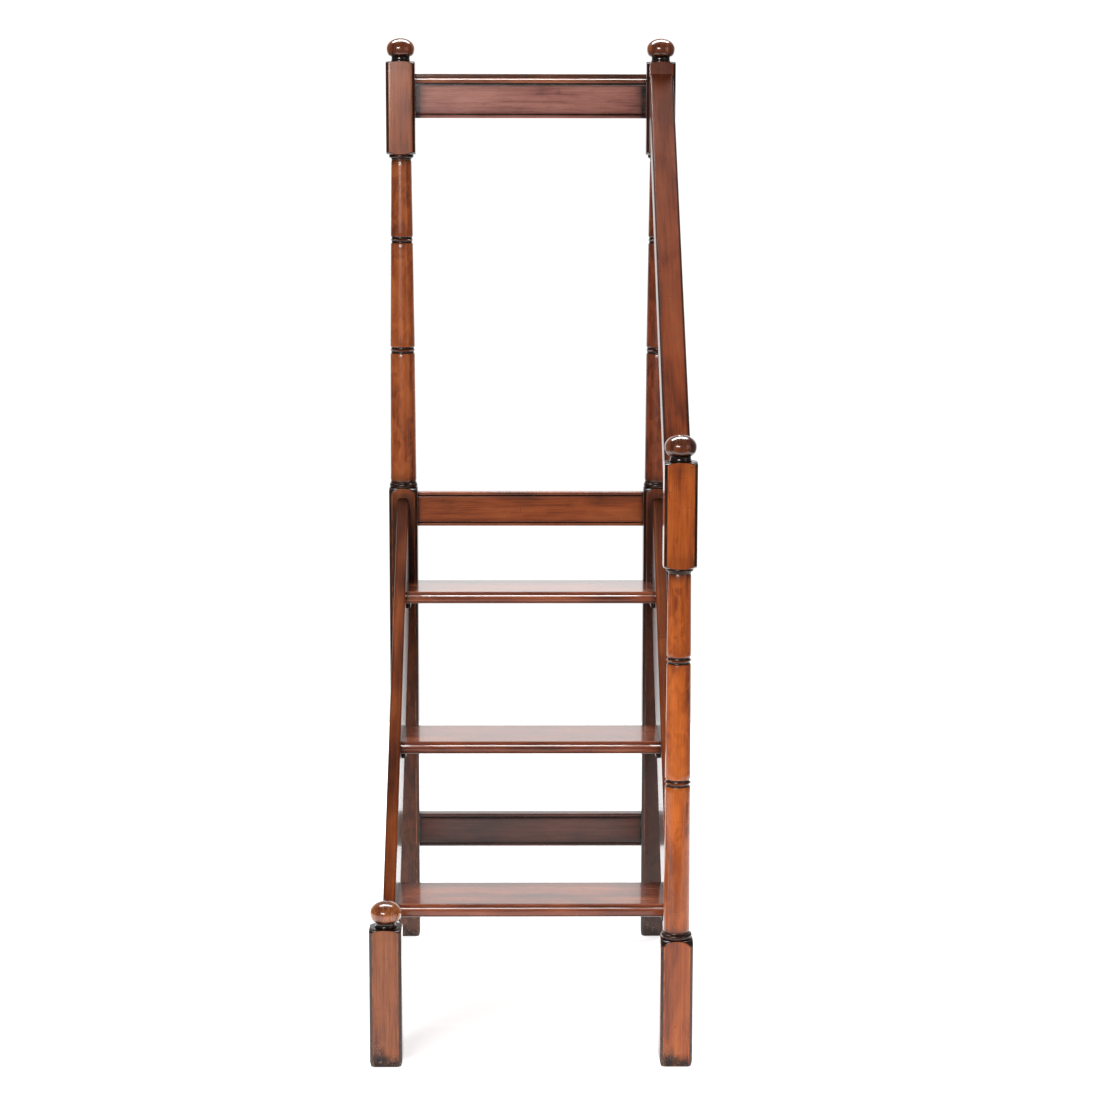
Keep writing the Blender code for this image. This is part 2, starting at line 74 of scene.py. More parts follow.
# Radiance of the sweep behind the steps and of the room round them.
SWEEP_GLOW = 1.10
ROOM_GLOW = 0.14
WHITE = (1.0, 1.0, 1.0, 1.0)
# The sweep fades in between these depths of the direction looked in, and out between these heights.
SWEEP_EDGE = (0.66, 0.88)
SWEEP_TOP = (0.25, 0.45)
SWEEP_TOP_DIMMED = 0.88
# The floor is a square sheet, and ends this far in front of the middle of the steps.
FLOOR_SIZE = 3.2
FLOOR_FRONT = -1.2
FLOOR_DROP = 0.0002
FLOOR_PAINT = (0.86, 0.86, 0.86)
FLOOR_GLOW = 0.73
FLOOR_ROUGHNESS = 0.9
FLOOR_SHINE = 0.1


class Socket:
    """An output of a node. Arithmetic on it adds Math nodes to its tree."""

    def __init__(self, graph, socket):
        self.graph = graph
        self.socket = socket

    def math(self, operation, *others):
        values = dict(enumerate((self, *others)))
        return self.graph.node("ShaderNodeMath", {"operation": operation}, values)

    def __add__(self, other):
        return self.math("ADD", other)

    def __sub__(self, other):
        return self.math("SUBTRACT", other)

    def __mul__(self, other):
        return self.math("MULTIPLY", other)

    def __truediv__(self, other):
        return self.math("DIVIDE", other)

    def __rsub__(self, other):
        return self.graph.node("ShaderNodeMath", {"operation": "SUBTRACT"}, {0: other, 1: self})

    __radd__ = __add__
    __rmul__ = __mul__

    def rise(self, low, high):
        """0 below low, 1 above high, and a smooth rise between them. It falls if low is above high."""
        if low > high:
            return 1 - self.rise(high, low)
        values = {"Value": self, "From Min": low, "From Max": high}
        return self.graph.node("ShaderNodeMapRange", {"interpolation_type": "SMOOTHSTEP"}, values)


class Graph:
    """Adds nodes to one tree."""

    def __init__(self, tree):
        self.tree = tree

    def feed(self, inputs, values):
        """Sets each named input to its value, or links it to its Socket."""
        for name, value in values.items():
            if isinstance(value, Socket):
                self.tree.links.new(value.socket, inputs[name])
            else:
                inputs[name].default_value = value

    def node(self, kind, settings, values, output=0):
        """One node: its settings come first, then its sockets' values or links. Returns one output."""
        made = self.tree.nodes.new(kind)
        for name, value in settings.items():
            if name == "stops":
                for element, (place, colour) in zip(made.color_ramp.elements, value):
                    element.position = place
                    element.color = (*colour, 1.0)
                for place, colour in value[2:]:
                    made.color_ramp.elements.new(place).color = (*colour, 1.0)
            else:
                setattr(made, name, value)
        self.feed(made.inputs, values)
        return Socket(self, made.outputs[output])

    def mix(self, share, first, second):
        """From the first colour to the second as share goes from 0 to 1."""
        first, second = (c if isinstance(c, Socket) else (*c, 1.0) for c in (first, second))
        values = {0: share, 6: first, 7: second}
        return self.node("ShaderNodeMix", {"data_type": "RGBA"}, values, 2)


def put_in(name, data):
    """A new object in the scene."""
    obj = bpy.data.objects.new(name, data)
    bpy.context.scene.collection.objects.link(obj)
    return obj


def as_mesh(name, bm):
    """The finished bmesh as a mesh."""
    mesh = bpy.data.meshes.new(name)
    bm.to_mesh(mesh)
    bm.free()
    return mesh


def new_material(name):
    """A material, the graph of its nodes, and the inputs of its shader."""
    material = bpy.data.materials.new(name)
    material.use_nodes = True
    shader = material.node_tree.nodes["Principled BSDF"]
    return material, Graph(material.node_tree), shader.inputs


def build_studio():
    camera = put_in("camera", bpy.data.cameras.new("camera"))
    camera.data.lens = CAMERA_LENS
    camera.matrix_world = (
        Matrix.Translation(CAMERA_PLACE)
        @ Matrix.Rotation(-CAMERA_YAW, 4, "Z")
        @ Matrix.Rotation(math.pi / 2 - CAMERA_PITCH, 4, "X")
        @ Matrix.Rotation(CAMERA_ROLL, 4, "Z")
    )
    bpy.context.scene.camera = camera
    bpy.context.scene.view_settings.view_transform = "Standard"

    world = bpy.data.worlds.new("studio")
    world.use_nodes = True
    bpy.context.scene.world = world
    room = Graph(world.node_tree)
    way = room.node("ShaderNodeTexCoord", {}, {}, "Generated")
    depth = room.node("ShaderNodeSeparateXYZ", {}, {"Vector": way}, "Y")
    up = room.node("ShaderNodeSeparateXYZ", {}, {"Vector": way}, "Z")
    behind = depth.rise(*SWEEP_EDGE) * (1 - SWEEP_TOP_DIMMED * up.rise(*SWEEP_TOP))
    glow = ROOM_GLOW + (SWEEP_GLOW - ROOM_GLOW) * behind
    background = world.node_tree.nodes["Background"]
    room.feed(background.inputs, {"Strength": glow, "Color": WHITE})

    bm = bmesh.new()
    bmesh.ops.create_grid(bm, x_segments=1, y_segments=1, size=FLOOR_SIZE / 2)
    bmesh.ops.translate(bm, verts=bm.verts, vec=(0, FLOOR_FRONT + FLOOR_SIZE / 2, -FLOOR_DROP))
    floor = put_in("floor", as_mesh("floor", bm))
    paint, layer, shader = new_material("pale floor")
    look = {
        "Base Color": (*FLOOR_PAINT, 1.0),
        "Roughness": FLOOR_ROUGHNESS,
        "Specular IOR Level": FLOOR_SHINE,
        "Emission Color": WHITE,
        "Emission Strength": FLOOR_GLOW,
    }
    layer.feed(shader, look)
    floor.data.materials.append(paint)
    floor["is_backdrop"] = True

    # Each light: its name, place, the point it faces, its width and height, and its power.
    lights = (
        ("front soft box", (-1.42, -4.15, 2.00), (0.0, 0.0, 0.9), (1.8, 0.90), 112.0),
        ("right fill", (2.9, -2.4, 1.4), (0.0, 0.0, 0.7), (1.6, 2.2), 9.0),
        ("overhead panel", (-0.1, 1.35, 3.7), (0.0, 0.0, 1.1), (3.4, 0.85), 180.0),
    )
    for name, place, target, size, power in lights:
        lamp = bpy.data.lights.new(name, "AREA")
        lamp.shape = "RECTANGLE"
        lamp.size, lamp.size_y = size
        lamp.energy = power
        light = put_in(name, lamp)
        light.location = place
        aim = Vector(target) - Vector(place)
        light.rotation_euler = aim.to_track_quat("-Z", "Y").to_euler()


build_studio()


# ---- Posts ----
# Two back posts, the newel and the short post, each turned from one 48 mm square of mahogany. Square
# blocks are left where the rails join, and dark glaze is wiped off the flats but stays in the turning.

POST_SIZE = 0.048
POST_ARRIS = 0.0045
POST_FOOT_CHAMFER = 0.0016
POST_SOFTNESS = 0.0014
POST_SIDES = 128
# The posts are darker towards the floor, and the back ones all the way up their foot blocks.
BACK_FOOT_TOP = 0.7795
BACK_DARKER_BELOW = 0.7995
BACK_DARKENING = 0.80
FRONT_DARKER_BELOW = 0.350
DARKENING_EDGE = (-0.020, 0.060)
NEWEL_DARKENING = 0.27
SHORT_DARKENING = 0.16
# How much painted light brightens the shafts, in the warmer colour of the wood under the stain.
SHAFT_PAINTED_LIGHT = 0.70
# How far the lathe stays off the blank's corners, and where its domed shoulders start.
CLEAR_RADIUS = 0.0345
SHOULDER_RADIUS = 0.0225
FOOT_SHOULDER_DROP = 0.026
HEAD_BASE_SHOULDER_DROP = 0.015
HEAD_TOP_SHOULDER_DROP = 0.012
SEAT_RADIUS = 0.0190
# A pair of grooves with a bead between them.
RING_HALF_LENGTH = 0.0062
RING_GROOVE_AT = 0.0042
RING_GROOVE_DEPTH = 0.0015
RING_BEAD_RISE = 0.0009
RING_LIP_LENGTH = 0.0006
RING_LIP_DROP = 0.0002
RING_WALL = (0.0003, 0.0007)
# A collar at a foot block and one under a head block, and the cove between either and the shaft.
FOOT_COLLAR_LENGTH = 0.0074
HEAD_COLLAR_LENGTH = 0.0052
COLLAR_SWELL = 0.0005
COLLAR_ROUNDING = 0.0010
COLLAR_EDGE_DROP = 0.0011
COLLAR_STEPS = 8
COVE_DEPTH = 0.0008
COVE_LENGTH = 0.0068
COVE_LIP = 0.0008
COVE_EASE = 0.0003
SHOULDER_STEPS = 30
# How far the glaze fades out along a post from a groove, a shoulder or a foot.
GLAZE_FADE = 0.009
STATION_SPACING = 0.007
# The blank: how round its corners are, and how deep the knocks along them.
CORNER_SOFTNESS = 0.0016
KNOCK_DEPTH = 0.0009
# How far the turning stands out past the blank, or the flats past the chamfers, where each takes over.
BLANK_EDGE = (0.0, 0.0012)
CHAMFER_EDGE = (-0.0003, 0.0006)
SIDE_CROWDING = 0.15
# Depths of glaze on the blocks.
CHAMFER_GLAZE = 0.90
BORDER_GLAZE = 0.34
FOOT_GLAZE = 0.95
SHOULDER_GLAZE = 0.25
# The glaze round a foot, and the scuffs: gone above the first height, fullest below the second.
FOOT_GLAZE_TOP = (0.034, 0.009)
SCUFF_TOP = (0.062, 0.026)
SMUDGE_SPREAD = 0.060
# Points closer than this are one point, and edges turned more than these degrees stay crisp.
WELD = 1e-6
TURNED_CRISP_FROM = 50

# Tones of the stain on each post: deep, body and pale.
NEWEL_TONES = ((0.185, 0.032, 0.005), (0.430, 0.086, 0.011), (0.620, 0.150, 0.022))
SHORT_TONES = ((0.120, 0.025, 0.006), (0.280, 0.070, 0.015), (0.410, 0.124, 0.030))
BACK_LEFT_TONES = ((0.145, 0.028, 0.007), (0.320, 0.070, 0.014), (0.470, 0.122, 0.028))
# The right back post's tones are darker all over than the left one's.
BACK_RIGHT_TONES = ((0.070, 0.012, 0.004), (0.165, 0.032, 0.009), (0.270, 0.062, 0.018))
GLAZE_AND_SHADE_BROWN = (0.013, 0.0055, 0.0035)
SCUFFED = (0.300, 0.170, 0.110)
UPRIGHT_GRAIN = (0.0, 0.0, 0.0)
# How strongly each mark shows in the stain.
PORE_SHARE = 0.55
SMEAR_SHARE = 0.30
BRUISE_SHARE = 0.75
NICK_SHARE = 0.70
SCUFF_SHARE = 0.50
WEAR_AND_LIGHT_SHARE = 0.55
PORE_SHADE = 0.45
WEAR_AND_LIGHT_WARMTH = 1.25
WOOD_IOR = 1.33
GRAIN_RELIEF = 0.0005
GRAIN_STRENGTH = 0.18


def mahogany(
    name, turn, tones, seed, roughness=0.34, coat=1.0, coat_roughness=0.13, coat_ior=1.36
):
    """Stained mahogany under glaze and lacquer. turn is the rotation that brings the piece's grain
    upright, and seed picks the part of the board that it is cut from."""
    material, wood, shader = new_material(name)
    place = wood.node("ShaderNodeTexCoord", {}, {}, "Object")
    board = (seed * 1.37, seed * 0.61, seed * 0.83)
    upright = {"Vector": place, "Rotation": turn, "Location": board}
    upright = wood.node("ShaderNodeMapping", {}, upright)

    def noise(across, along, detail, distortion=0.0):
        """Noise with that many lumps in a metre across the grain and along it."""
        stretch = {0: upright, 1: (across, across, along)}
        where = wood.node("ShaderNodeVectorMath", {"operation": "MULTIPLY"}, stretch)
        values = {"Vector": where, "Scale": 1.0, "Detail": detail, "Distortion": distortion}
        return wood.node("ShaderNodeTexNoise", {}, values, "Fac")

    mottle = noise(24, 8, 3.0, 0.4)
    figure = noise(150, 5, 4.0, 0.3)
    fibre = noise(760, 18, 3.0)
    pores = noise(1250, 55, 2.0).rise(0.60, 0.74)
    tone = 0.26 * figure + 0.50 * mottle + 0.24 * fibre
    deep, body, pale = tones
    stops = ((0.38, deep), (0.66, pale), (0.50, body))
    stain = wood.node("ShaderNodeValToRGB", {"stops": stops}, {"Fac": tone}, "Color")
    stain = wood.mix(PORE_SHARE * pores, stain, tuple(part * PORE_SHADE for part in deep))

    # The glaze, thick in corners and thin over the flats, with cloudy edges where it was wiped. On the
    # finials the same mask also paints shade: a dark reflection of the dim room under each bun and
    # towards the top of its dome.
    glaze = wood.node("ShaderNodeAttribute", {"attribute_name": "glaze"}, {}, "Fac")
    cloud = noise(85, 40, 4.0, 0.6)
    dirt = (glaze * (0.72 + 0.62 * cloud)).math("MINIMUM", 1.0)
    smear = noise(46, 20, 5.0, 1.2).rise(0.60, 0.74) * SMEAR_SHARE
    stain = wood.mix(dirt.math("MAXIMUM", smear), stain, GLAZE_AND_SHADE_BROWN)

    # Small bruises that took the glaze, put in to make the wood look old.
    cells = {"Vector": upright, "Scale": 34.0, "Randomness": 1.0}
    spot = wood.node("ShaderNodeTexVoronoi", {}, cells, "Distance")
    pick = wood.node("ShaderNodeTexVoronoi", {}, cells, "Color")
    pick = wood.node("ShaderNodeSeparateXYZ", {}, {"Vector": pick}, "X")
    bruise = spot.rise(0.055, 0.030) * pick.rise(0.78, 0.80)
    stain = wood.mix(BRUISE_SHARE * bruise, stain, GLAZE_AND_SHADE_BROWN)

    # Short nicks across the grain, in places only, and pale scuffs just above the floor.
    nick = noise(48, 820, 1.0).rise(0.70, 0.75) * noise(14, 10, 1.0).rise(0.50, 0.60)
    stain = wood.mix(NICK_SHARE * nick, stain, GLAZE_AND_SHADE_BROWN)
    scuff = wood.node("ShaderNodeAttribute", {"attribute_name": "scuff"}, {}, "Fac")
    scuff = scuff * noise(620, 420, 2.0).rise(0.54, 0.66) * noise(60, 60, 2.0).rise(0.44, 0.60)
    stain = wood.mix(SCUFF_SHARE * scuff, stain, SCUFFED)

    # Edges where handling has taken the stain back to a warmer wood, and painted light on the shafts in
    # that same warmer colour.
    rub = wood.node("ShaderNodeAttribute", {"attribute_name": "rub"}, {}, "Fac")
    worn_and_lit = tuple(min(1.0, part * WEAR_AND_LIGHT_WARMTH) for part in pale)
    stain = wood.mix(rub * cloud.rise(0.42, 0.62) * WEAR_AND_LIGHT_SHARE, stain, worn_and_lit)

    height = 0.30 * fibre - 0.55 * pores - 1.6 * bruise - 0.8 * nick - 0.8 * scuff + 1.0 * mottle
    bump = {"Height": height, "Strength": GRAIN_STRENGTH, "Distance": GRAIN_RELIEF}
    bump = wood.node("ShaderNodeBump", {}, bump, "Normal")
    rough = roughness + 0.14 * (mottle - 0.5) - 0.06 * dirt + 0.10 * pores
    lacquer = coat * (1 - 0.50 * dirt)
    look = {"Base Color": stain, "Roughness": rough, "Normal": bump, "IOR": WOOD_IOR}
    look |= {"Coat Weight": lacquer, "Coat Roughness": coat_roughness, "Coat IOR": coat_ior}
    wood.feed(shader, look)
    return material


def hand_over(piece, material_slot, *nodes):
    """Hangs a finished piece on the frame in place of its CAD nodes."""
    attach(piece, "root")
    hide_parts(*nodes)


def quarter(start, end, steps, outwards_first):
    """Points on a quarter ellipse from start to end, both (radius, height), without the start. It sets
    off square to the axis if outwards_first, and along the axis if not."""
    points = []
    for i in range(1, steps + 1):
        angle = math.pi / 2 * i / steps
        fast, slow = math.sin(angle), 1 - math.cos(angle)
        across, along = (fast, slow) if outwards_first else (slow, fast)
        radius = start[0] + (end[0] - start[0]) * across
        points.append((radius, start[1] + (end[1] - start[1]) * along))
    return points


def stained(points, glaze):
    """The (radius, height) points with one depth of glaze on all of them."""
    return [(radius, height, glaze) for radius, height in points]


def from_edge(edge, *points):
    """Points given as (in from the edge, up), as (out from the middle, up)."""
    return [(edge - inset, up) for inset, up in points]


def ring_pair(radius, height):
    """Two grooves with a bead between them, cut round the shaft."""
    groove = (radius - RING_GROOVE_DEPTH, -RING_GROOVE_AT)
    half = [(radius, -RING_HALF_LENGTH - RING_LIP_LENGTH, 0.18)]
    half.append((radius - RING_LIP_DROP, -RING_HALF_LENGTH, 0.10))
    half += stained([(groove[0] + RING_WALL[0], groove[1] - RING_WALL[1]), groove], 1.0)
    bead = quarter(groove, (radius + RING_BEAD_RISE, 0.0), 6, False)
    half += stained(bead[:2], 1.0) + stained(bead[2:4], 0.70) + stained(bead[4:], 0.20)
    upper = [(wide, -drop, glaze) for wide, drop, glaze in reversed(half[:-1])]
    return [(wide, height + along, glaze) for wide, along, glaze in half + upper]


def collar(radius, shaft_radius, base, way):
    """A rounded ring at the end of a shaft, and the small cove between them. way is +1 above a foot
    block and -1 under a head block."""
    long = FOOT_COLLAR_LENGTH if way > 0 else HEAD_COLLAR_LENGTH
    cove = shaft_radius - COVE_DEPTH
    steps = [(radius - COLLAR_EDGE_DROP, 0.0, 1.0)]
    for i in range(1, COLLAR_STEPS):
        turn = math.pi * i / COLLAR_STEPS
        swell = COLLAR_SWELL * math.sin(turn) - COLLAR_ROUNDING * math.cos(turn) ** 4
        middle = long / 2 * (1 - math.cos(turn))
        steps.append((radius + swell, middle, 0.92))
    steps.append((radius - COLLAR_EDGE_DROP, long, 1.0))
    steps.append((cove + COVE_LIP, long + COVE_LENGTH * 0.10, 1.0))
    steps.append((cove + COVE_LIP, long + COVE_LENGTH * 0.32, 0.85))
    steps.append((cove, long + COVE_LENGTH * 0.42, 0.90))
    steps.append((cove + COVE_EASE, long + COVE_LENGTH * 0.70, 0.66))
    steps.append((shaft_radius, long + COVE_LENGTH, 0.48))
    return [(wide, base + way * along, glaze) for wide, along, glaze in steps]


def block_end(height, drop):
    """A block's domed shoulder, from the turning out to the clear radius. drop is the shoulder's
    height, and below zero where the block stands under it."""
    start = (SHOULDER_RADIUS, height)
    dome = quarter(start, (CLEAR_RADIUS, height + drop), SHOULDER_STEPS, True)
    return stained([start] + dome, 0.96)


def filled(outline):
    """The outline with stations added along its long stretches, and its glaze fading out on them."""
    full = [outline[0]]
    for (r0, h0, g0), (r1, h1, g1) in zip(outline, outline[1:]):
        length = abs(h1 - h0)
        count = max(1, math.ceil(length / STATION_SPACING))
        for i in range(1, count):
            share = i / count
            fade = g0 * math.exp(-share * length / GLAZE_FADE)
            fade = max(fade, g1 * math.exp(-(1 - share) * length / GLAZE_FADE))
            full.append((r0 + (r1 - r0) * share, h0 + (h1 - h0) * share, fade))
        full.append((r1, h1, g1))
    return full


def turned_outline(
    foot_top, foot_collar, rings, shaft_low, shaft_high, head_collar, head_base, top
):
    """A turned post's (radius, height, glaze) from the floor to the seat of its finial."""
    outline = [(CLEAR_RADIUS, 0.0, 1.0)]
    outline += list(reversed(block_end(foot_top, -FOOT_SHOULDER_DROP)))
    outline += collar(foot_collar, shaft_low, foot_top, 1)
    for radius, height in rings:
        outline += ring_pair(radius, height)
    outline += list(reversed(collar(head_collar, shaft_high, head_base, -1)))
    outline += block_end(head_base, HEAD_BASE_SHOULDER_DROP)
    outline += list(reversed(block_end(top, -HEAD_TOP_SHOULDER_DROP)))
    outline.append((SEAT_RADIUS, top, 1.0))
    return filled(outline)


def open_rule(name, inputs):
    """A Geometry Nodes tree with these inputs, as its graph and its inputs by name."""
    tree = bpy.data.node_groups.new(name, "GeometryNodeTree")
    for label, kind in inputs:
        tree.interface.new_socket(label, in_out="INPUT", socket_type=kind)
    tree.interface.new_socket("Made", in_out="OUTPUT", socket_type="NodeSocketGeometry")
    graph = Graph(tree)
    group = tree.nodes.new("NodeGroupInput")
    return graph, {label: Socket(graph, group.outputs[label]) for label, _ in inputs}


def close_rule(graph, made, finish):
    """Ends the tree with real geometry, all of it in one finish."""
    made = graph.node("GeometryNodeRealizeInstances", {}, {"Geometry": made})
    made = graph.node("GeometryNodeSetMaterial", {}, {"Geometry": made, "Material": finish})
    out = graph.tree.nodes.new("NodeGroupOutput")
    graph.feed(out.inputs, {"Made": made})
    return graph.tree


def turning_tree():
    """Turning as a rule: a circle swept up the post at each station's radius, and held back to the
    faces and chamfers of the square blank wherever it would stand out beyond them."""
    inputs = (
        ("Stations", "NodeSocketGeometry"),
        ("Blank Half Width", "NodeSocketFloat"),
        ("Arris", "NodeSocketFloat"),
        ("Foot Chamfer", "NodeSocketFloat"),
        ("Softness", "NodeSocketFloat"),
        ("Shaft Rub", "NodeSocketFloat"),
        ("Aged To", "NodeSocketFloat"),
        ("Age", "NodeSocketFloat"),
        ("Sides", "NodeSocketInt"),
        ("Axis", "NodeSocketVector"),
        ("Wood", "NodeSocketMaterial"),
    )
    lathe, given = open_rule("turned from a square blank", inputs)
    line = lathe.node("GeometryNodeMeshToCurve", {}, {"Mesh": given["Stations"]})
    radius = lathe.node("GeometryNodeInputNamedAttribute", {}, {"Name": "turned_radius"})
    ring = {"Resolution": given["Sides"], "Radius": 1.0}
    ring = lathe.node("GeometryNodeCurvePrimitiveCircle", {}, ring)
    sweep = {"Curve": line, "Profile Curve": ring, "Scale": radius, "Fill Caps": True}
    body = lathe.node("GeometryNodeCurveToMesh", {}, sweep)

    # The sides crowd towards the corners of the blank, where the shape needs them.
    place = lathe.node("GeometryNodeInputPosition", {}, {})
    x = lathe.node("ShaderNodeSeparateXYZ", {}, {"Vector": place}, "X")
    y = lathe.node("ShaderNodeSeparateXYZ", {}, {"Vector": place}, "Y")
    z = lathe.node("ShaderNodeSeparateXYZ", {}, {"Vector": place}, "Z")
    reach = (x * x + y * y).math("SQRT")
    angle = y.math("ARCTAN2", x)
    angle = angle + SIDE_CROWDING * (4.0 * angle).math("SINE")
    cosine, sine = angle.math("COSINE"), angle.math("SINE")
    wide = cosine.math("ABSOLUTE").math("MAXIMUM", sine.math("ABSOLUTE"))
    narrow = cosine.math("ABSOLUTE").math("MINIMUM", sine.math("ABSOLUTE"))
    half = given["Blank Half Width"] - (given["Foot Chamfer"] - z).math("MAXIMUM", 0.0)
    flat = half / wide
    chamfer = (2.0 * half - given["Arris"]) / (wide + narrow)
    blank = flat.math("SMOOTH_MIN", chamfer, CORNER_SOFTNESS)
    shaped = reach.math("SMOOTH_MIN", blank, given["Softness"])

    # Nicks along the arrises, from years of knocks.
    on_blank = (reach - blank).rise(*BLANK_EDGE)
    on_chamfer = (flat - chamfer).rise(*CHAMFER_EDGE)
    knock = {"Vector": place, "Scale": 42.0, "Detail": 2.0}
    knock = lathe.node("ShaderNodeTexNoise", {}, knock, "Fac").rise(0.66, 0.80)
    shaped = shaped - KNOCK_DEPTH * knock * on_chamfer * on_blank

    # Glaze fills the turning, and on a block it lies on the chamfers, thinly along the borders of the
    # flats, and round the foot. The lower part of a post is darker all over as well.
    carried = lathe.node("GeometryNodeInputNamedAttribute", {}, {"Name": "glaze"})
    border = (narrow / wide).rise(0.60, 1.00) * BORDER_GLAZE
    smudge = {"Vector": place, "Scale": 38.0, "Detail": 3.0}
    smudge = lathe.node("ShaderNodeTexNoise", {}, smudge, "Fac")
    smudge = z + SMUDGE_SPREAD * (smudge - 0.5)
    foot = smudge.rise(*FOOT_GLAZE_TOP) * FOOT_GLAZE
    darkened = (given["Aged To"] - smudge).rise(*DARKENING_EDGE) * given["Age"]
    flats = border.math("MAXIMUM", foot).math("MAXIMUM", carried * SHOULDER_GLAZE)
    flats = flats.math("MAXIMUM", darkened)
    glaze = carried.math("MAXIMUM", darkened) * (1 - on_blank)
    glaze = glaze + on_blank * (on_chamfer * CHAMFER_GLAZE).math("MAXIMUM", flats)
    # Handled arrises on the blocks lose their stain, and the round parts of a shaft get painted light.
    rub = on_blank * (flat - chamfer).rise(-0.0011, -0.0003) * (1 - on_chamfer)
    rub = rub + (1 - on_blank) * (1 - carried.rise(0.0, 0.5)) * given["Shaft Rub"]
    scuff = on_blank * z.rise(*SCUFF_TOP)
    for name, value in (("glaze", glaze), ("rub", rub), ("scuff", scuff)):
        store = {"Geometry": body, "Name": name, "Value": value}
        body = lathe.node("GeometryNodeStoreNamedAttribute", {"domain": "POINT"}, store)
    moved = {"X": shaped * cosine, "Y": shaped * sine, "Z": z}
    moved = lathe.node("ShaderNodeCombineXYZ", {}, moved)
    set_off = {"Geometry": body, "Position": moved, "Offset": given["Axis"]}
    body = lathe.node("GeometryNodeSetPosition", {}, set_off)
    return close_rule(lathe, body, given["Wood"])


def applied(obj, tree, values, crisp_from):
    """Runs the tree on the object and leaves it a plain mesh. Edges over crisp_from degrees stay
    crisp."""
    modifier = obj.modifiers.new(tree.name, "NODES")
    modifier.node_group = tree
    for item in tree.interface.items_tree:
        if item.in_out == "INPUT" and item.name in values:
            modifier[item.identifier] = values[item.name]
    graph = bpy.context.evaluated_depsgraph_get()
    mesh = bpy.data.meshes.new_from_object(obj.evaluated_get(graph), depsgraph=graph)
    obj.modifiers.clear()
    obj.data = mesh
    bm = bmesh.new()
    bm.from_mesh(mesh)
    bmesh.ops.remove_doubles(bm, verts=bm.verts, dist=WELD)
    bmesh.ops.recalc_face_normals(bm, faces=bm.faces)
    bm.to_mesh(mesh)
    bm.free()
    mesh.shade_smooth()
    mesh.set_sharp_from_angle(angle=math.radians(crisp_from))
    return obj


LATHE = turning_tree()


def turn_piece(
    node, slot, outline, wood, blank_half, foot_chamfer, softness, shaft_light=0.0, darker_below=0.0, darkening=0.0
):
    """Turns the node's piece to the outline, from a square blank of that half width. shaft_light is how
    much painted light brightens the round parts, and darkening how much darker the piece is below the
    height darker_below."""
    mesh = bpy.data.meshes.new(node + "_turned")
    verts = [(0.0, 0.0, height) for _, height, _ in outline]
    mesh.from_pydata(verts, [(i, i + 1) for i in range(len(verts) - 1)], [])
    for attribute, column in (("turned_radius", 0), ("glaze", 2)):
        layer = mesh.attributes.new(attribute, "FLOAT", "POINT")
        layer.data.foreach_set("value", [station[column] for station in outline])
    low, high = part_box(node)
    values = {
        "Blank Half Width": blank_half,
        "Arris": POST_ARRIS,
        "Foot Chamfer": foot_chamfer,
        "Softness": softness,
        "Shaft Rub": shaft_light,
        "Aged To": darker_below,
        "Age": darkening,
        "Sides": POST_SIDES,
        "Axis": ((low.x + high.x) / 2, (low.y + high.y) / 2, 0.0),
        "Wood": wood,
    }
    piece = applied(put_in(mesh.name, mesh), LATHE, values, TURNED_CRISP_FROM)
    hand_over(piece, slot, node)


def build_posts():
    back = turned_outline(
        foot_top=BACK_FOOT_TOP,
        foot_collar=0.0230,
        rings=((0.0206, 1.0110), (0.0186, 1.1943)),
        shaft_low=0.0219,
        shaft_high=0.0170,
        head_collar=0.0200,
        head_base=1.3345,
        top=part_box("back_post_left")[1].z,
    )
    newel = turned_outline(
        foot_top=0.1920,
        foot_collar=0.0225,
        rings=((0.0187, 0.4270), (0.0177, 0.6090)),
        shaft_low=0.0196,
        shaft_high=0.0169,
        head_collar=0.0196,
        head_base=0.7450,
        top=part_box("newel_post")[1].z,
    )
    short = [(CLEAR_RADIUS, 0.0, 1.0)]
    short_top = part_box("short_post")[1].z
    short += list(reversed(block_end(short_top, -HEAD_TOP_SHOULDER_DROP)))
    short = filled(short + [(SEAT_RADIUS, short_top, 1.0)])
    posts = (
        ("back_post_left", back, BACK_LEFT_TONES, "back_post_wood", 1.0, BACK_DARKER_BELOW, BACK_DARKENING),
        ("back_post_right", back, BACK_RIGHT_TONES, "back_post_wood", 2.0, BACK_DARKER_BELOW, BACK_DARKENING),
        ("newel_post", newel, NEWEL_TONES, "front_post_wood", 3.0, FRONT_DARKER_BELOW, NEWEL_DARKENING),
        ("short_post", short, SHORT_TONES, "front_post_wood", 4.0, FRONT_DARKER_BELOW, SHORT_DARKENING),
    )
    for node, outline, tones, slot, seed, darker_below, darkening in posts:
        wood = mahogany(node + " mahogany", UPRIGHT_GRAIN, tones, seed)
        sizes = (POST_SIZE / 2, POST_FOOT_CHAMFER, POST_SOFTNESS, SHAFT_PAINTED_LIGHT, darker_below, darkening)
        turn_piece(node, slot, outline, wood, *sizes)


build_posts()


# ---- Finials ----
# A bun with a domed top on a waisted neck, turned from the same mahogany and dowelled into each post.
# The glaze is left nearly black round the neck. Under the bun and towards the top of the dome it
# also paints shade, a dark reflection of the dim room.

NECK_RADIUS = 0.0163
NECK_WAIST_RADIUS = 0.0150
NECK_WAIST_HEIGHT = 0.0056
NECK_HEIGHT = 0.0086
BUN_RADIUS = 0.0232
BUN_WIDEST_AT = 0.0212
# The neck's foot, as points (in from the neck, up from the post).
NECK_FOOT = ((0.0010, 0.0), (0.0, 0.0006))
NECK_FOOT_TOP = 0.0012
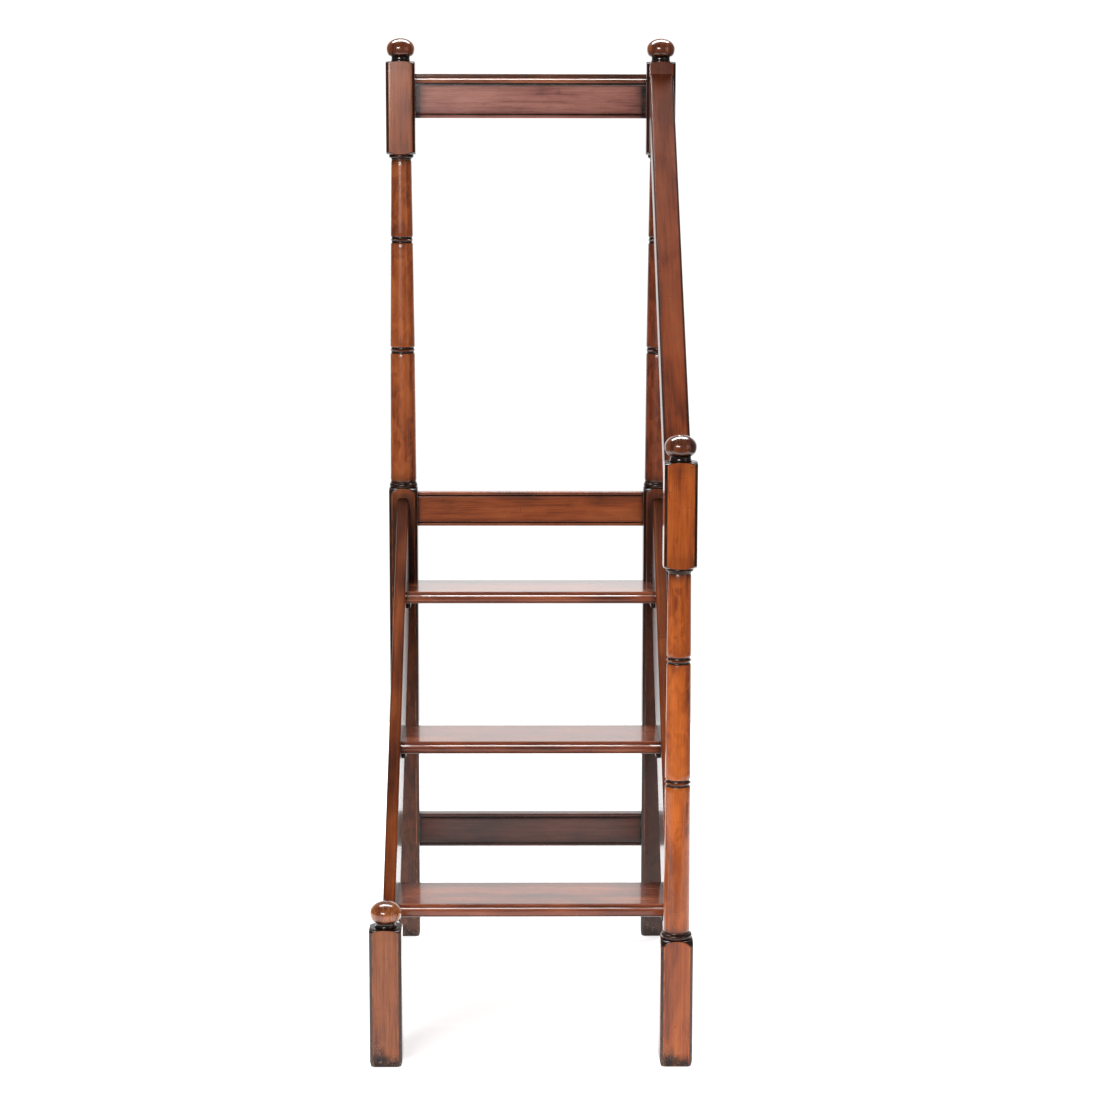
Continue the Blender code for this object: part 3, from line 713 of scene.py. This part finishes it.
# Glaze and painted shade: the underside darkens towards the neck and the dome towards its top, standing
# in partly for a dark reflection of the dim room.
UNDERSIDE_GLAZE_AND_SHADE_STEP = 0.09
DOME_GLAZE_AND_SHADE = 0.55
BUN_SOFTNESS = 0.0001
# Past any radius here, so that the finial keeps no flats.
NO_BLANK = 1.0
BUN_TONES = ((0.045, 0.009, 0.003), (0.200, 0.045, 0.011), (0.600, 0.190, 0.046))


def build_finials():
    names = ("back_left", "back_right", "newel", "short")
    for seed, name in enumerate(names, 5):
        node = "finial_" + name
        post = {"newel": "newel_post", "short": "short_post"}.get(name, "back_post_" + name[5:])
        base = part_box(post)[1].z
        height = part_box(node)[1].z - base
        outline = stained([(0.0, 0.0)] + from_edge(NECK_RADIUS, *NECK_FOOT), 1.0)
        outline += stained([(NECK_RADIUS, NECK_FOOT_TOP)], 0.85)
        waist = (NECK_WAIST_RADIUS, NECK_WAIST_HEIGHT)
        waist = quarter((NECK_RADIUS, NECK_FOOT_TOP), waist, 6, True)
        waist += quarter(waist[-1], (NECK_RADIUS, NECK_HEIGHT), 6, False)
        outline += stained(waist, 1.0)
        under = quarter(waist[-1], (BUN_RADIUS, BUN_WIDEST_AT), 16, True)
        # Glaze with painted shade, fading out from the neck across the underside.
        for step, (wide, up) in enumerate(under):
            outline.append((wide, up, max(0.0, 1.0 - UNDERSIDE_GLAZE_AND_SHADE_STEP * step)))
        dome = quarter(under[-1], (0.0, height), 26, False)
        # Glaze with painted shade, deepening up the dome.
        for step, (wide, up) in enumerate(dome):
            outline.append((wide, up, DOME_GLAZE_AND_SHADE * step / len(dome)))
        outline = [(radius, base + up, glaze) for radius, up, glaze in outline]
        wood = mahogany(node + " mahogany", UPRIGHT_GRAIN, BUN_TONES, seed, 0.24, coat_ior=1.55)
        turn_piece(node, "finial_wood", outline, wood, NO_BLANK, 0.0, BUN_SOFTNESS)


build_finials()


# ---- Back rails ----
# Three rails of 22 mm mahogany, tenoned into the back posts, with a bead run along their edges. The
# top rail has its bead on the lower edge only, under a moulded cap.

# The bead along an edge, as points (in from the face, up from the edge): its foot, its widest and
# its top, and then the quirk above it, out to the face.
BEAD_FOOT = (0.0030, 0.0)
BEAD_WIDEST = (0.0003, 0.0030)
BEAD_TOP = (0.0021, 0.0060)
QUIRK = ((0.0021, 0.0064), (0.0012, 0.0067), (0.0002, 0.0071), (0.0, 0.0077))
# The quirk is glazed between these heights, and this far in. A pair below is (depth, fade).
QUIRK_GLAZED = (0.0048, 0.0072)
QUIRK_REACH = 0.0025
BEAD_GLAZE = 0.25
BORDER_FADE = 0.0050
UNDER_CAP_GLAZE = (0.8, 0.0020)
RAIL_END_GLAZE = (0.90, 0.0055)
# The longest side of a moulding's section, and the longest step along a rail.
FINE_SIDE = 0.0035
RAIL_STEP = 0.010
MOULDED_CRISP_FROM = 32
SLIVER = 1e-7
# The top rail's tones are greyer than the middle rail's: its stain with a painted haze over it, the
# reflection of the front soft box.
TOP_RAIL_HAZED_TONES = ((0.110, 0.028, 0.021), (0.360, 0.125, 0.092), (0.520, 0.220, 0.165))
MIDDLE_RAIL_TONES = ((0.135, 0.030, 0.008), (0.350, 0.076, 0.018), (0.520, 0.140, 0.038))
# The lower rail's tones are a far darker copy of the middle rail's: painted shade from the treads above
# and in front of it.
LOWER_RAIL_SHADED_TONES = ((0.034, 0.008, 0.004), (0.074, 0.017, 0.008), (0.120, 0.034, 0.016))
ACROSS_GRAIN = (0.0, -math.pi / 2, 0.0)


def arc_at(before, corner, after, radius, steps):
    """A corner of an outline, rounded to the radius."""
    there = (Vector(before) - Vector(corner)).normalized()
    onward = (Vector(after) - Vector(corner)).normalized()
    half = there.angle(onward) / 2
    start = Vector(corner) + there * (radius / math.tan(half))
    centre = Vector(corner) + (there + onward).normalized() * (radius / math.sin(half))
    end = Vector(corner) + onward * (radius / math.tan(half))
    points = []
    for i in range(steps + 1):
        way = (start - centre).lerp(end - centre, i / steps).normalized()
        points.append(tuple(centre + way * radius))
    return points


def spaced(outline, most):
    """The closed outline with points added, so that no side is longer than most."""
    full = []
    for here, after in zip(outline, outline[1:] + outline[:1]):
        count = max(1, math.ceil(math.dist(here, after) / most))
        for i in range(count):
            full.append(tuple(a + (b - a) * i / count for a, b in zip(here, after)))
    return full


def spread(low, high, most, crowd=0.010):
    """Stations from low to high, no further apart than most and closer within crowd of each end."""
    start = [0.0, 0.0010, 0.0025, 0.0045, 0.0070, crowd]
    count = max(1, math.ceil((high - low - 2 * crowd) / most))
    middle = [crowd + (high - low - 2 * crowd) * i / count for i in range(1, count)]
    end = [high - low - place for place in reversed(start)]
    return [low + place for place in start + middle + end]


def run_out(node, slot, wood, section, stations, place, glaze):
    """The node's piece as moulded wood: the closed section run along the stations. place gives the
    point for (u, v, station), and glaze the depth of glaze there."""
    bm = bmesh.new()
    dark = bm.verts.layers.float.new("glaze")
    rings = []
    for along in stations:
        ring = []
        for u, v in section:
            vert = bm.verts.new(place(u, v, along))
            vert[dark] = glaze(u, v, along)
            ring.append(vert)
        rings.append(ring)
    count = len(section)
    for low, high in zip(rings, rings[1:]):
        for i in range(count):
            j = (i + 1) % count
            bm.faces.new((low[i], low[j], high[j], high[i]))
    bm.faces.new(rings[0])
    bm.faces.new(rings[-1])
    bmesh.ops.remove_doubles(bm, verts=bm.verts, dist=WELD)
    bmesh.ops.dissolve_degenerate(bm, edges=bm.edges, dist=SLIVER)
    bmesh.ops.recalc_face_normals(bm, faces=bm.faces)
    mesh = as_mesh(node + "_run", bm)
    mesh.materials.append(wood)
    mesh.shade_smooth()
    mesh.set_sharp_from_angle(angle=math.radians(MOULDED_CRISP_FROM))
    hand_over(put_in(mesh.name, mesh), slot, node)


def glaze_near(distance, depth, fade):
    """The glaze at a distance from a corner: this deep close to it, and fading out."""
    return depth * math.exp(-max(0.0, distance) / fade)


def rail_section(height, half, top_bead):
    """The beaded rail's section as (out from the middle, up from the base)."""
    foot, widest, top = from_edge(half, BEAD_FOOT, BEAD_WIDEST, BEAD_TOP)
    side = [foot] + quarter(foot, widest, 5, True)
    side += quarter(side[-1], top, 5, False) + from_edge(half, *QUIRK)
    if top_bead:
        side += [(out, height - up) for out, up in reversed(side)]
    else:
        side.append((half, height))
    return side + [(-out, up) for out, up in reversed(side)]


def build_back_rails():
    # Each rail: whether its upper edge is beaded, its tones, the depth of glaze along its borders,
    # how far in from each end it is darkest, and its board.
    rails = (
        # The top rail's greyer tones carry a painted reflection of the front soft box.
        ("top_rail", False, TOP_RAIL_HAZED_TONES, 0.40, 0.0065, 11.0),
        ("middle_rail", True, MIDDLE_RAIL_TONES, 0.40, 0.0, 12.0),
        # The lower rail's dark tones are painted shade from the treads.
        ("lower_rail", True, LOWER_RAIL_SHADED_TONES, 0.60, 0.0, 13.0),
    )
    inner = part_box("top_rail_cap")
    for node, top_bead, tones, border, dark_end, seed in rails:
        low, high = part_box(node)
        base, height = low.z, high.z - low.z
        middle = (low.y + high.y) / 2
        half = (high.y - low.y) / 2

        def place(out, up, along):
            return (along, middle + out, base + up)

        def glaze(out, up, along):
            edge = min(up, height - up) if top_bead else up
            low_side, high_side = QUIRK_GLAZED
            quirk = low_side < edge < high_side and abs(out) > half - QUIRK_REACH
            bead = BEAD_GLAZE
            if edge > low_side:
                bead = glaze_near(edge - QUIRK[-1][1], border, BORDER_FADE)
            if not top_bead:
                bead = max(bead, glaze_near(height - up, *UNDER_CAP_GLAZE))
            inset = min(along - inner[0].x, inner[1].x - along) - dark_end
            return max(float(quirk), bead, glaze_near(inset, *RAIL_END_GLAZE))

        wood = mahogany(node + " mahogany", ACROSS_GRAIN, tones, seed)
        section = spaced(rail_section(height, half, top_bead), FINE_SIDE)
        stations = spread(inner[0].x, inner[1].x, RAIL_STEP)
        run_out(node, "rail_wood", wood, section, stations, place, glaze)


build_back_rails()


# ---- Top rail's cap ----
# A narrow moulded cap glued along the top rail: from below, a quirk, a torus, a slope and a narrower
# band. Its torus is left almost free of glaze, lighter than the band above it.

# Its side, as points (in from its widest, up from its base).
CAP_QUIRK = ((0.0034, 0.0), (0.0034, 0.0030))
CAP_WIDEST = (0.0, 0.0060)
CAP_TORUS_TOP = (0.0008, 0.0086)
CAP_SLOPE = ((0.0011, 0.0089), (0.0029, 0.0101), (0.0048, 0.0114))
CAP_BAND = ((0.0050, 0.0116), (0.0052, 0.0122), (0.0052, 0.0170))
CAP_TOP_INSET = 0.0062
CAP_QUIRK_GLAZED_TO = 0.0032
CAP_TORUS_GLAZE = 0.03
CAP_BAND_GLAZE = 0.66
CAP_END_GLAZE = (0.9, 0.0060)
CAP_TONES = ((0.150, 0.038, 0.016), (0.330, 0.098, 0.040), (0.480, 0.165, 0.075))


def build_cap():
    low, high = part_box("top_rail_cap")
    middle, half = (low.y + high.y) / 2, (high.y - low.y) / 2
    height = high.z - low.z
    widest, torus_top = from_edge(half, CAP_WIDEST, CAP_TORUS_TOP)
    side = from_edge(half, *CAP_QUIRK)
    side += quarter(side[-1], widest, 7, True)
    side += quarter(side[-1], torus_top, 5, False)
    side += from_edge(half, *CAP_SLOPE, *CAP_BAND)
    side += quarter(side[-1], (half - CAP_TOP_INSET, height), 4, False)
    section = spaced(side + [(-out, up) for out, up in reversed(side)], FINE_SIDE)

    def place(out, up, along):
        return (along, middle + out, low.z + up)

    def glaze(out, up, along):
        quirk = 1.0 if up < CAP_QUIRK_GLAZED_TO else 0.0
        band = CAP_BAND_GLAZE if up > CAP_BAND[0][1] else CAP_TORUS_GLAZE
        ends = glaze_near(min(along - low.x, high.x - along), *CAP_END_GLAZE)
        return max(quirk, band, ends)

    lacquer = {"roughness": 0.22, "coat_roughness": 0.05, "coat_ior": 1.5}
    wood = mahogany("cap mahogany", ACROSS_GRAIN, CAP_TONES, 14.0, **lacquer)
    stations = spread(low.x, high.x, RAIL_STEP)
    run_out("top_rail_cap", "rail_wood", wood, section, stations, place, glaze)


build_cap()


# ---- Stringers ----
# Two sloping boards, 19 by 127 mm, between the front and back posts. They are tenoned at both ends,
# housed on the inside for the treads, and eased along their edges.

STRINGER_WIDTH = 0.127
STRINGER_ROUND = 0.005
SLOPE = 1.03
PITCH = math.atan(SLOPE)
UP_THE_SLOPE = (math.pi / 2 - PITCH, 0.0, 0.0)
# Glaze at the posts and along the arrises, and a darkening up towards the back, as (depth, fade).
STRINGER_END_GLAZE = (0.95, 0.0100)
STRINGER_UPPER_DARKENING = (0.60, 0.0900)
STRINGER_ARRIS_GLAZE = (0.40, 0.0014)
# The longest side of a board's section, and the longest step along a board.
BOARD_SIDE = 0.006
BOARD_STEP = 0.008
# Boards and the handrail have a thinner lacquer.
THIN_COAT = 0.55
STRINGER_TONES = ((0.055, 0.010, 0.002), (0.155, 0.030, 0.004), (0.300, 0.070, 0.010))


def bar_section(width, depth, rounding, steps):
    """A bar's section with rounded corners, as (across, up), with its top at zero."""
    half = width / 2
    corners = [(-half, -depth), (half, -depth), (half, 0.0), (-half, 0.0)]
    outline = []
    for i, corner in enumerate(corners):
        outline += arc_at(corners[i - 1], corner, corners[(i + 1) % 4], rounding, steps)
    return outline


def build_stringers():
    for node, seed in (("stringer_left", 15.0), ("stringer_right", 16.0)):
        low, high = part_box(node)
        half = (high.x - low.x) / 2
        middle = (low.x + high.x) / 2
        front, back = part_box("short_post")[1].y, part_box("back_post_left")[0].y
        foot = low.z
        top_at_back = high.z

        def place(across, down, along):
            top = top_at_back + SLOPE * (along - back)
            return (middle + across, along, max(foot, top + down / math.cos(PITCH)))

        def glaze(across, down, along):
            ends = glaze_near(min(along - front, back - along), *STRINGER_END_GLAZE)
            upper = glaze_near(back - along, *STRINGER_UPPER_DARKENING)
            arris = glaze_near(half - abs(across), *STRINGER_ARRIS_GLAZE)
            return max(ends, upper, arris)

        section = spaced(bar_section(half * 2, STRINGER_WIDTH, STRINGER_ROUND, 6), BOARD_SIDE)
        wood = mahogany(node + " mahogany", UP_THE_SLOPE, STRINGER_TONES, seed, coat=THIN_COAT)
        stations = spread(front, back, BOARD_STEP)
        run_out(node, "stringer_wood", wood, section, stations, place, glaze)


build_stringers()


# ---- Treads ----
# Three treads of 19 mm mahogany, housed 6 mm into the stringers. The nose is rounded below a flat
# fillet and a short slope, and the tops are polished by feet and cloths.

# The front edge, as points (back from the nose, up), with the tread's top at zero.
FILLET_TOP = (0.0052, 0.0)
FILLET = ((0.0052, -0.0036), (0.0051, -0.0041))
NOSE_SLOPE = ((0.0048, -0.0043), (0.0030, -0.0052), (0.0012, -0.0061), (0.0009, -0.0063))
NOSE_FRONT = (0.0, -0.0100)
NOSE_UNDER = 0.0045
FILLET_ROUND = 0.0006
TREAD_ROUND = 0.0012
TREAD_SIDE = 0.005
TREAD_END_CROWD = 0.014
# The line below the fillet, the underside, the ends and the back hold glaze.
FILLET_GLAZED = (-0.0042, -0.0038)
FILLET_REACH = 0.0055
FILLET_GLAZE = 0.75
UNDERSIDE_FROM = -0.0155
UNDERSIDE_GLAZE = 0.60
TREAD_END_GLAZE = (0.85, 0.0050)
TREAD_BACK_GLAZE = (0.6, 0.0040)
TREAD_TONES = ((0.085, 0.020, 0.009), (0.230, 0.054, 0.022), (0.420, 0.125, 0.052))


def build_treads():
    for seed, name in enumerate(("lower", "middle", "upper"), 17):
        node = "tread_" + name
        low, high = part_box(node)
        deep, thick = high.y - low.y, high.z - low.z
        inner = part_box("stringer_right")[0].x

        nose = list(NOSE_SLOPE) + quarter(NOSE_SLOPE[-1], NOSE_FRONT, 8, True)
        nose += quarter(nose[-1], (NOSE_UNDER, -thick), 9, False)
        outline = list(reversed(list(FILLET) + nose))
        outline += arc_at(FILLET[0], FILLET_TOP, (deep, 0.0), FILLET_ROUND, 3)
        outline += arc_at((0.0, 0.0), (deep, 0.0), (deep, -thick), TREAD_ROUND, 3)
        outline += arc_at((deep, 0.0), (deep, -thick), (0.0, -thick), TREAD_ROUND, 3)
        section = spaced(outline, TREAD_SIDE)

        def place(back, up, along):
            return (along, low.y + back, high.z + up)

        def glaze(back, up, along):
            line = FILLET_GLAZED[0] < up < FILLET_GLAZED[1] and back < FILLET_REACH
            corner = FILLET_GLAZE if line else 0.0
            ends = glaze_near(inner - abs(along), *TREAD_END_GLAZE)
            under = UNDERSIDE_GLAZE if up < UNDERSIDE_FROM else 0.0
            rear = glaze_near(deep - back, *TREAD_BACK_GLAZE)
            return max(corner, ends, under, rear)

        gloss = {"roughness": 0.24, "coat_roughness": 0.05}
        wood = mahogany(node + " mahogany", ACROSS_GRAIN, TREAD_TONES, seed, **gloss)
        stations = spread(low.x, high.x, BOARD_STEP, TREAD_END_CROWD)
        run_out(node, "tread_wood", wood, section, stations, place, glaze)


build_treads()


# ---- Cleats and screws ----
# A short dark-stained cleat under each end of each tread, held to the stringer by two countersunk
# slotted steel screws.

CLEAT_ARRIS = 0.0009
CLEAT_TONES = ((0.014, 0.008, 0.006), (0.034, 0.018, 0.012), (0.060, 0.032, 0.021))
CLEAT_END_GLAZE = (0.8, 0.004)
# A screw's head, as (share of its radius, height).
SCREW_HEAD = ((0.0, 0.0), (0.5, 0.0), (0.94, -0.0001), (1.0, -0.0004))
SCREW_HEAD_DEPTH = 0.0026
SCREW_POINT = 0.004
SCREW_PROUD = 0.00005
SCREW_SLOT_WIDTH = 0.0009
SCREW_SLOT_DEPTH = 0.0010
SCREW_SHADOW = (0.045, 0.040, 0.034)
ALONG_GRAIN = (math.pi / 2, 0.0, 0.0)


def scatter_tree():
    """Puts one copy of a piece at each point, turned to the point's own direction."""
    inputs = (
        ("Places", "NodeSocketGeometry"),
        ("Piece", "NodeSocketObject"),
        ("Most Turn", "NodeSocketFloat"),
        ("Seed", "NodeSocketInt"),
        ("Finish", "NodeSocketMaterial"),
    )
    bench, given = open_rule("one at each place", inputs)
    vector = {"data_type": "FLOAT_VECTOR"}
    facing = bench.node("GeometryNodeInputNamedAttribute", vector, {"Name": "facing"})
    aim = bench.node("FunctionNodeAlignRotationToVector", {"axis": "Z"}, {"Vector": facing})
    least = given["Most Turn"] * -1.0
    spin = {2: least, 3: given["Most Turn"], "Seed": given["Seed"]}
    spin = bench.node("FunctionNodeRandomValue", {"data_type": "FLOAT"}, spin, 1)
    roll = bench.node("ShaderNodeCombineXYZ", {}, {"Z": spin})
    turn = {"Rotation": aim, "Rotate By": roll}
    turned_to = bench.node("FunctionNodeRotateRotation", {"rotation_space": "LOCAL"}, turn)
    copy = bench.node("GeometryNodeObjectInfo", {}, {"Object": given["Piece"]}, "Geometry")
    spots = bench.node("GeometryNodeMeshToPoints", {}, {"Mesh": given["Places"]})
    laid = {"Points": spots, "Instance": copy, "Rotation": turned_to}
    made = bench.node("GeometryNodeInstanceOnPoints", {}, laid)
    return close_rule(bench, made, given["Finish"])


SCATTER = scatter_tree()


def set_out(name, pattern, places, most_turn, seed, finish):
    """One mesh of copies of the pattern, one at each (point, facing)."""
    mesh = bpy.data.meshes.new(name)
    mesh.from_pydata([point for point, _ in places], [], [])
    layer = mesh.attributes.new("facing", "FLOAT_VECTOR", "POINT")
    layer.data.foreach_set("vector", [part for _, facing in places for part in facing])
    obj = put_in(name, mesh)
    values = {"Piece": pattern, "Most Turn": most_turn, "Seed": seed, "Finish": finish}
    made = applied(obj, SCATTER, values, MOULDED_CRISP_FROM)
    bpy.data.objects.remove(pattern, do_unlink=True)
    return made


def cleat_pattern(wide, long, high):
    """One cleat: a bar with eased arrises, its back against the stringer and its length along Y."""
    bm = bmesh.new()
    bmesh.ops.create_cube(bm, size=1.0)
    bmesh.ops.scale(bm, verts=bm.verts, vec=(high, long, wide))
    ease = {"offset": CLEAT_ARRIS, "segments": 3, "profile": 0.5, "affect": "EDGES"}
    bmesh.ops.bevel(bm, geom=bm.edges[:], **ease)
    long_edges = [edge for edge in bm.edges if edge.calc_length() > long / 2]
    bmesh.ops.subdivide_edges(bm, edges=long_edges, cuts=12)
    dark = bm.verts.layers.float.new("glaze")
    for vert in bm.verts:
        vert[dark] = glaze_near(long / 2 - abs(vert.co.y), *CLEAT_END_GLAZE)
    return put_in("cleat pattern", as_mesh("cleat pattern", bm))


def screw_pattern(head, shank, length):
    """One countersunk screw, its head at the origin facing +Z, with a slot across the head."""
    outline = [(head * share, height) for share, height in SCREW_HEAD]
    outline += [(shank, -SCREW_HEAD_DEPTH), (shank, -length + SCREW_POINT), (0.0, -length)]
    bm = bmesh.new()
    verts = [bm.verts.new((radius, 0.0, height)) for radius, height in outline]
    edges = [bm.edges.new(pair) for pair in zip(verts, verts[1:])]
    turn = {"cent": (0, 0, 0), "axis": (0, 0, 1), "angle": math.tau}
    bmesh.ops.spin(bm, geom=verts + edges, steps=32, use_merge=True, **turn)
    bmesh.ops.remove_doubles(bm, verts=bm.verts, dist=WELD)
    bmesh.ops.recalc_face_normals(bm, faces=bm.faces)
    screw = put_in("screw pattern", as_mesh("screw pattern", bm))
    bm = bmesh.new()
    bmesh.ops.create_cube(bm, size=1.0)
    bmesh.ops.scale(bm, verts=bm.verts, vec=(head * 3, SCREW_SLOT_WIDTH, SCREW_SLOT_DEPTH * 2))
    slot = put_in("screw slot", as_mesh("screw slot", bm))
    cut = screw.modifiers.new("slot", "BOOLEAN")
    cut.operation = "DIFFERENCE"
    cut.object = slot
    graph = bpy.context.evaluated_depsgraph_get()
    screw.data = bpy.data.meshes.new_from_object(screw.evaluated_get(graph), depsgraph=graph)
    screw.modifiers.clear()
    bpy.data.objects.remove(slot, do_unlink=True)
    return screw


def screw_steel():
    """Zinc-plated steel, dulled, with fine turning marks round the head and dirt on its face."""
    material, steel, shader = new_material("screw steel")
    place = steel.node("ShaderNodeTexCoord", {}, {}, "Object")
    cloud = {"Vector": place, "Scale": 420.0, "Detail": 4.0}
    cloud = steel.node("ShaderNodeTexNoise", {}, cloud, "Fac")
    marks = {"Vector": place, "Scale": 2600.0, "Detail": 2.0}
    marks = steel.node("ShaderNodeTexNoise", {}, marks, "Fac")
    colour = steel.mix(cloud.rise(0.48, 0.66), (0.52, 0.50, 0.46), SCREW_SHADOW)
    bump = {"Height": marks, "Strength": 0.25, "Distance": 0.0001}
    bump = steel.node("ShaderNodeBump", {}, bump, "Normal")
    rough = 0.28 + 0.30 * cloud
    look = {"Base Color": colour, "Roughness": rough, "Normal": bump, "Metallic": 1.0}
    steel.feed(shader, look)
    return material


def build_cleats():
    cleats = sorted(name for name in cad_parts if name.startswith("cleat_"))
    screws = sorted(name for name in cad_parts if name.startswith("screw_"))
    low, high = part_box(cleats[0])
    size = high - low
    places = []
    for node in cleats:
        low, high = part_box(node)
        middle = (low + high) / 2
        places.append((tuple(middle), (-math.copysign(1.0, middle.x), 0.0, 0.0)))
    wood = mahogany("cleat wood", ALONG_GRAIN, CLEAT_TONES, 21.0, roughness=0.42, coat=0.15)
    pattern = cleat_pattern(size.x, size.y, size.z)
    hand_over(set_out("cleats_cut", pattern, places, 0.0, 0, wood), "cleat_wood", *cleats)

    heads = []
    for node in screws:
        low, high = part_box(node)
        middle = (low + high) / 2
        side = math.copysign(1.0, middle.x)
        inner = low.x if side > 0 else high.x
        heads.append(((inner - side * SCREW_PROUD, middle.y, middle.z), (-side, 0.0, 0.0)))
    length, head = high.x - low.x, (high.z - low.z) / 2
    pattern = screw_pattern(head, head / 2, length)
    made = set_out("screws_driven", pattern, heads, math.pi, 7, screw_steel())
    hand_over(made, "screw_steel", *screws)


build_cleats()


# ---- Handrail ----
# One straight mahogany rail, about 40 by 48 mm with eased edges, tenoned into the newel and the right
# back post. The glaze stays along its edges, and the rail grows darker up towards the back post.

HANDRAIL_DEPTH = 0.048
HANDRAIL_ROUND = 0.005
HANDRAIL_END_GLAZE = (0.55, 0.0060)
# On the top face the glaze lies along the edges. Below that it is even.
TOP_FACE_DEPTH = -0.006
TOP_EDGE = 0.0030
TOP_EDGE_GLAZE = (0.75, 0.0016)
SIDE_GLAZE = 0.25
CLIMB_DARKENING = 0.52
HANDRAIL_TONES = ((0.115, 0.019, 0.003), (0.270, 0.048, 0.006), (0.390, 0.082, 0.012))


def build_handrail():
    low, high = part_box("handrail")
    middle, half = (low.x + high.x) / 2, (high.x - low.x) / 2
    front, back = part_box("newel_post")[1].y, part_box("back_post_right")[0].y

    def place(across, down, along):
        top = high.z + SLOPE * (along - back)
        return (middle + across, along, top + down / math.cos(PITCH))

    def glaze(across, down, along):
        ends = glaze_near(min(along - front, back - along), *HANDRAIL_END_GLAZE)
        border = SIDE_GLAZE
        if down > TOP_FACE_DEPTH:
            border = glaze_near(half - TOP_EDGE - abs(across), *TOP_EDGE_GLAZE)
        climb = CLIMB_DARKENING * (along - front) / (back - front)
        return max(ends, border, climb)

    section = spaced(bar_section(half * 2, HANDRAIL_DEPTH, HANDRAIL_ROUND, 7), FINE_SIDE)
    wood = mahogany("handrail mahogany", UP_THE_SLOPE, HANDRAIL_TONES, 22.0, coat=THIN_COAT)
    stations = spread(front, back, BOARD_STEP)
    run_out("handrail", "handrail_wood", wood, section, stations, place, glaze)


build_handrail()


visual_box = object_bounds()
boxes = {"cad": cad_box, "visual": visual_box}
{name: [list(corner) for corner in box] for name, box in boxes.items()}
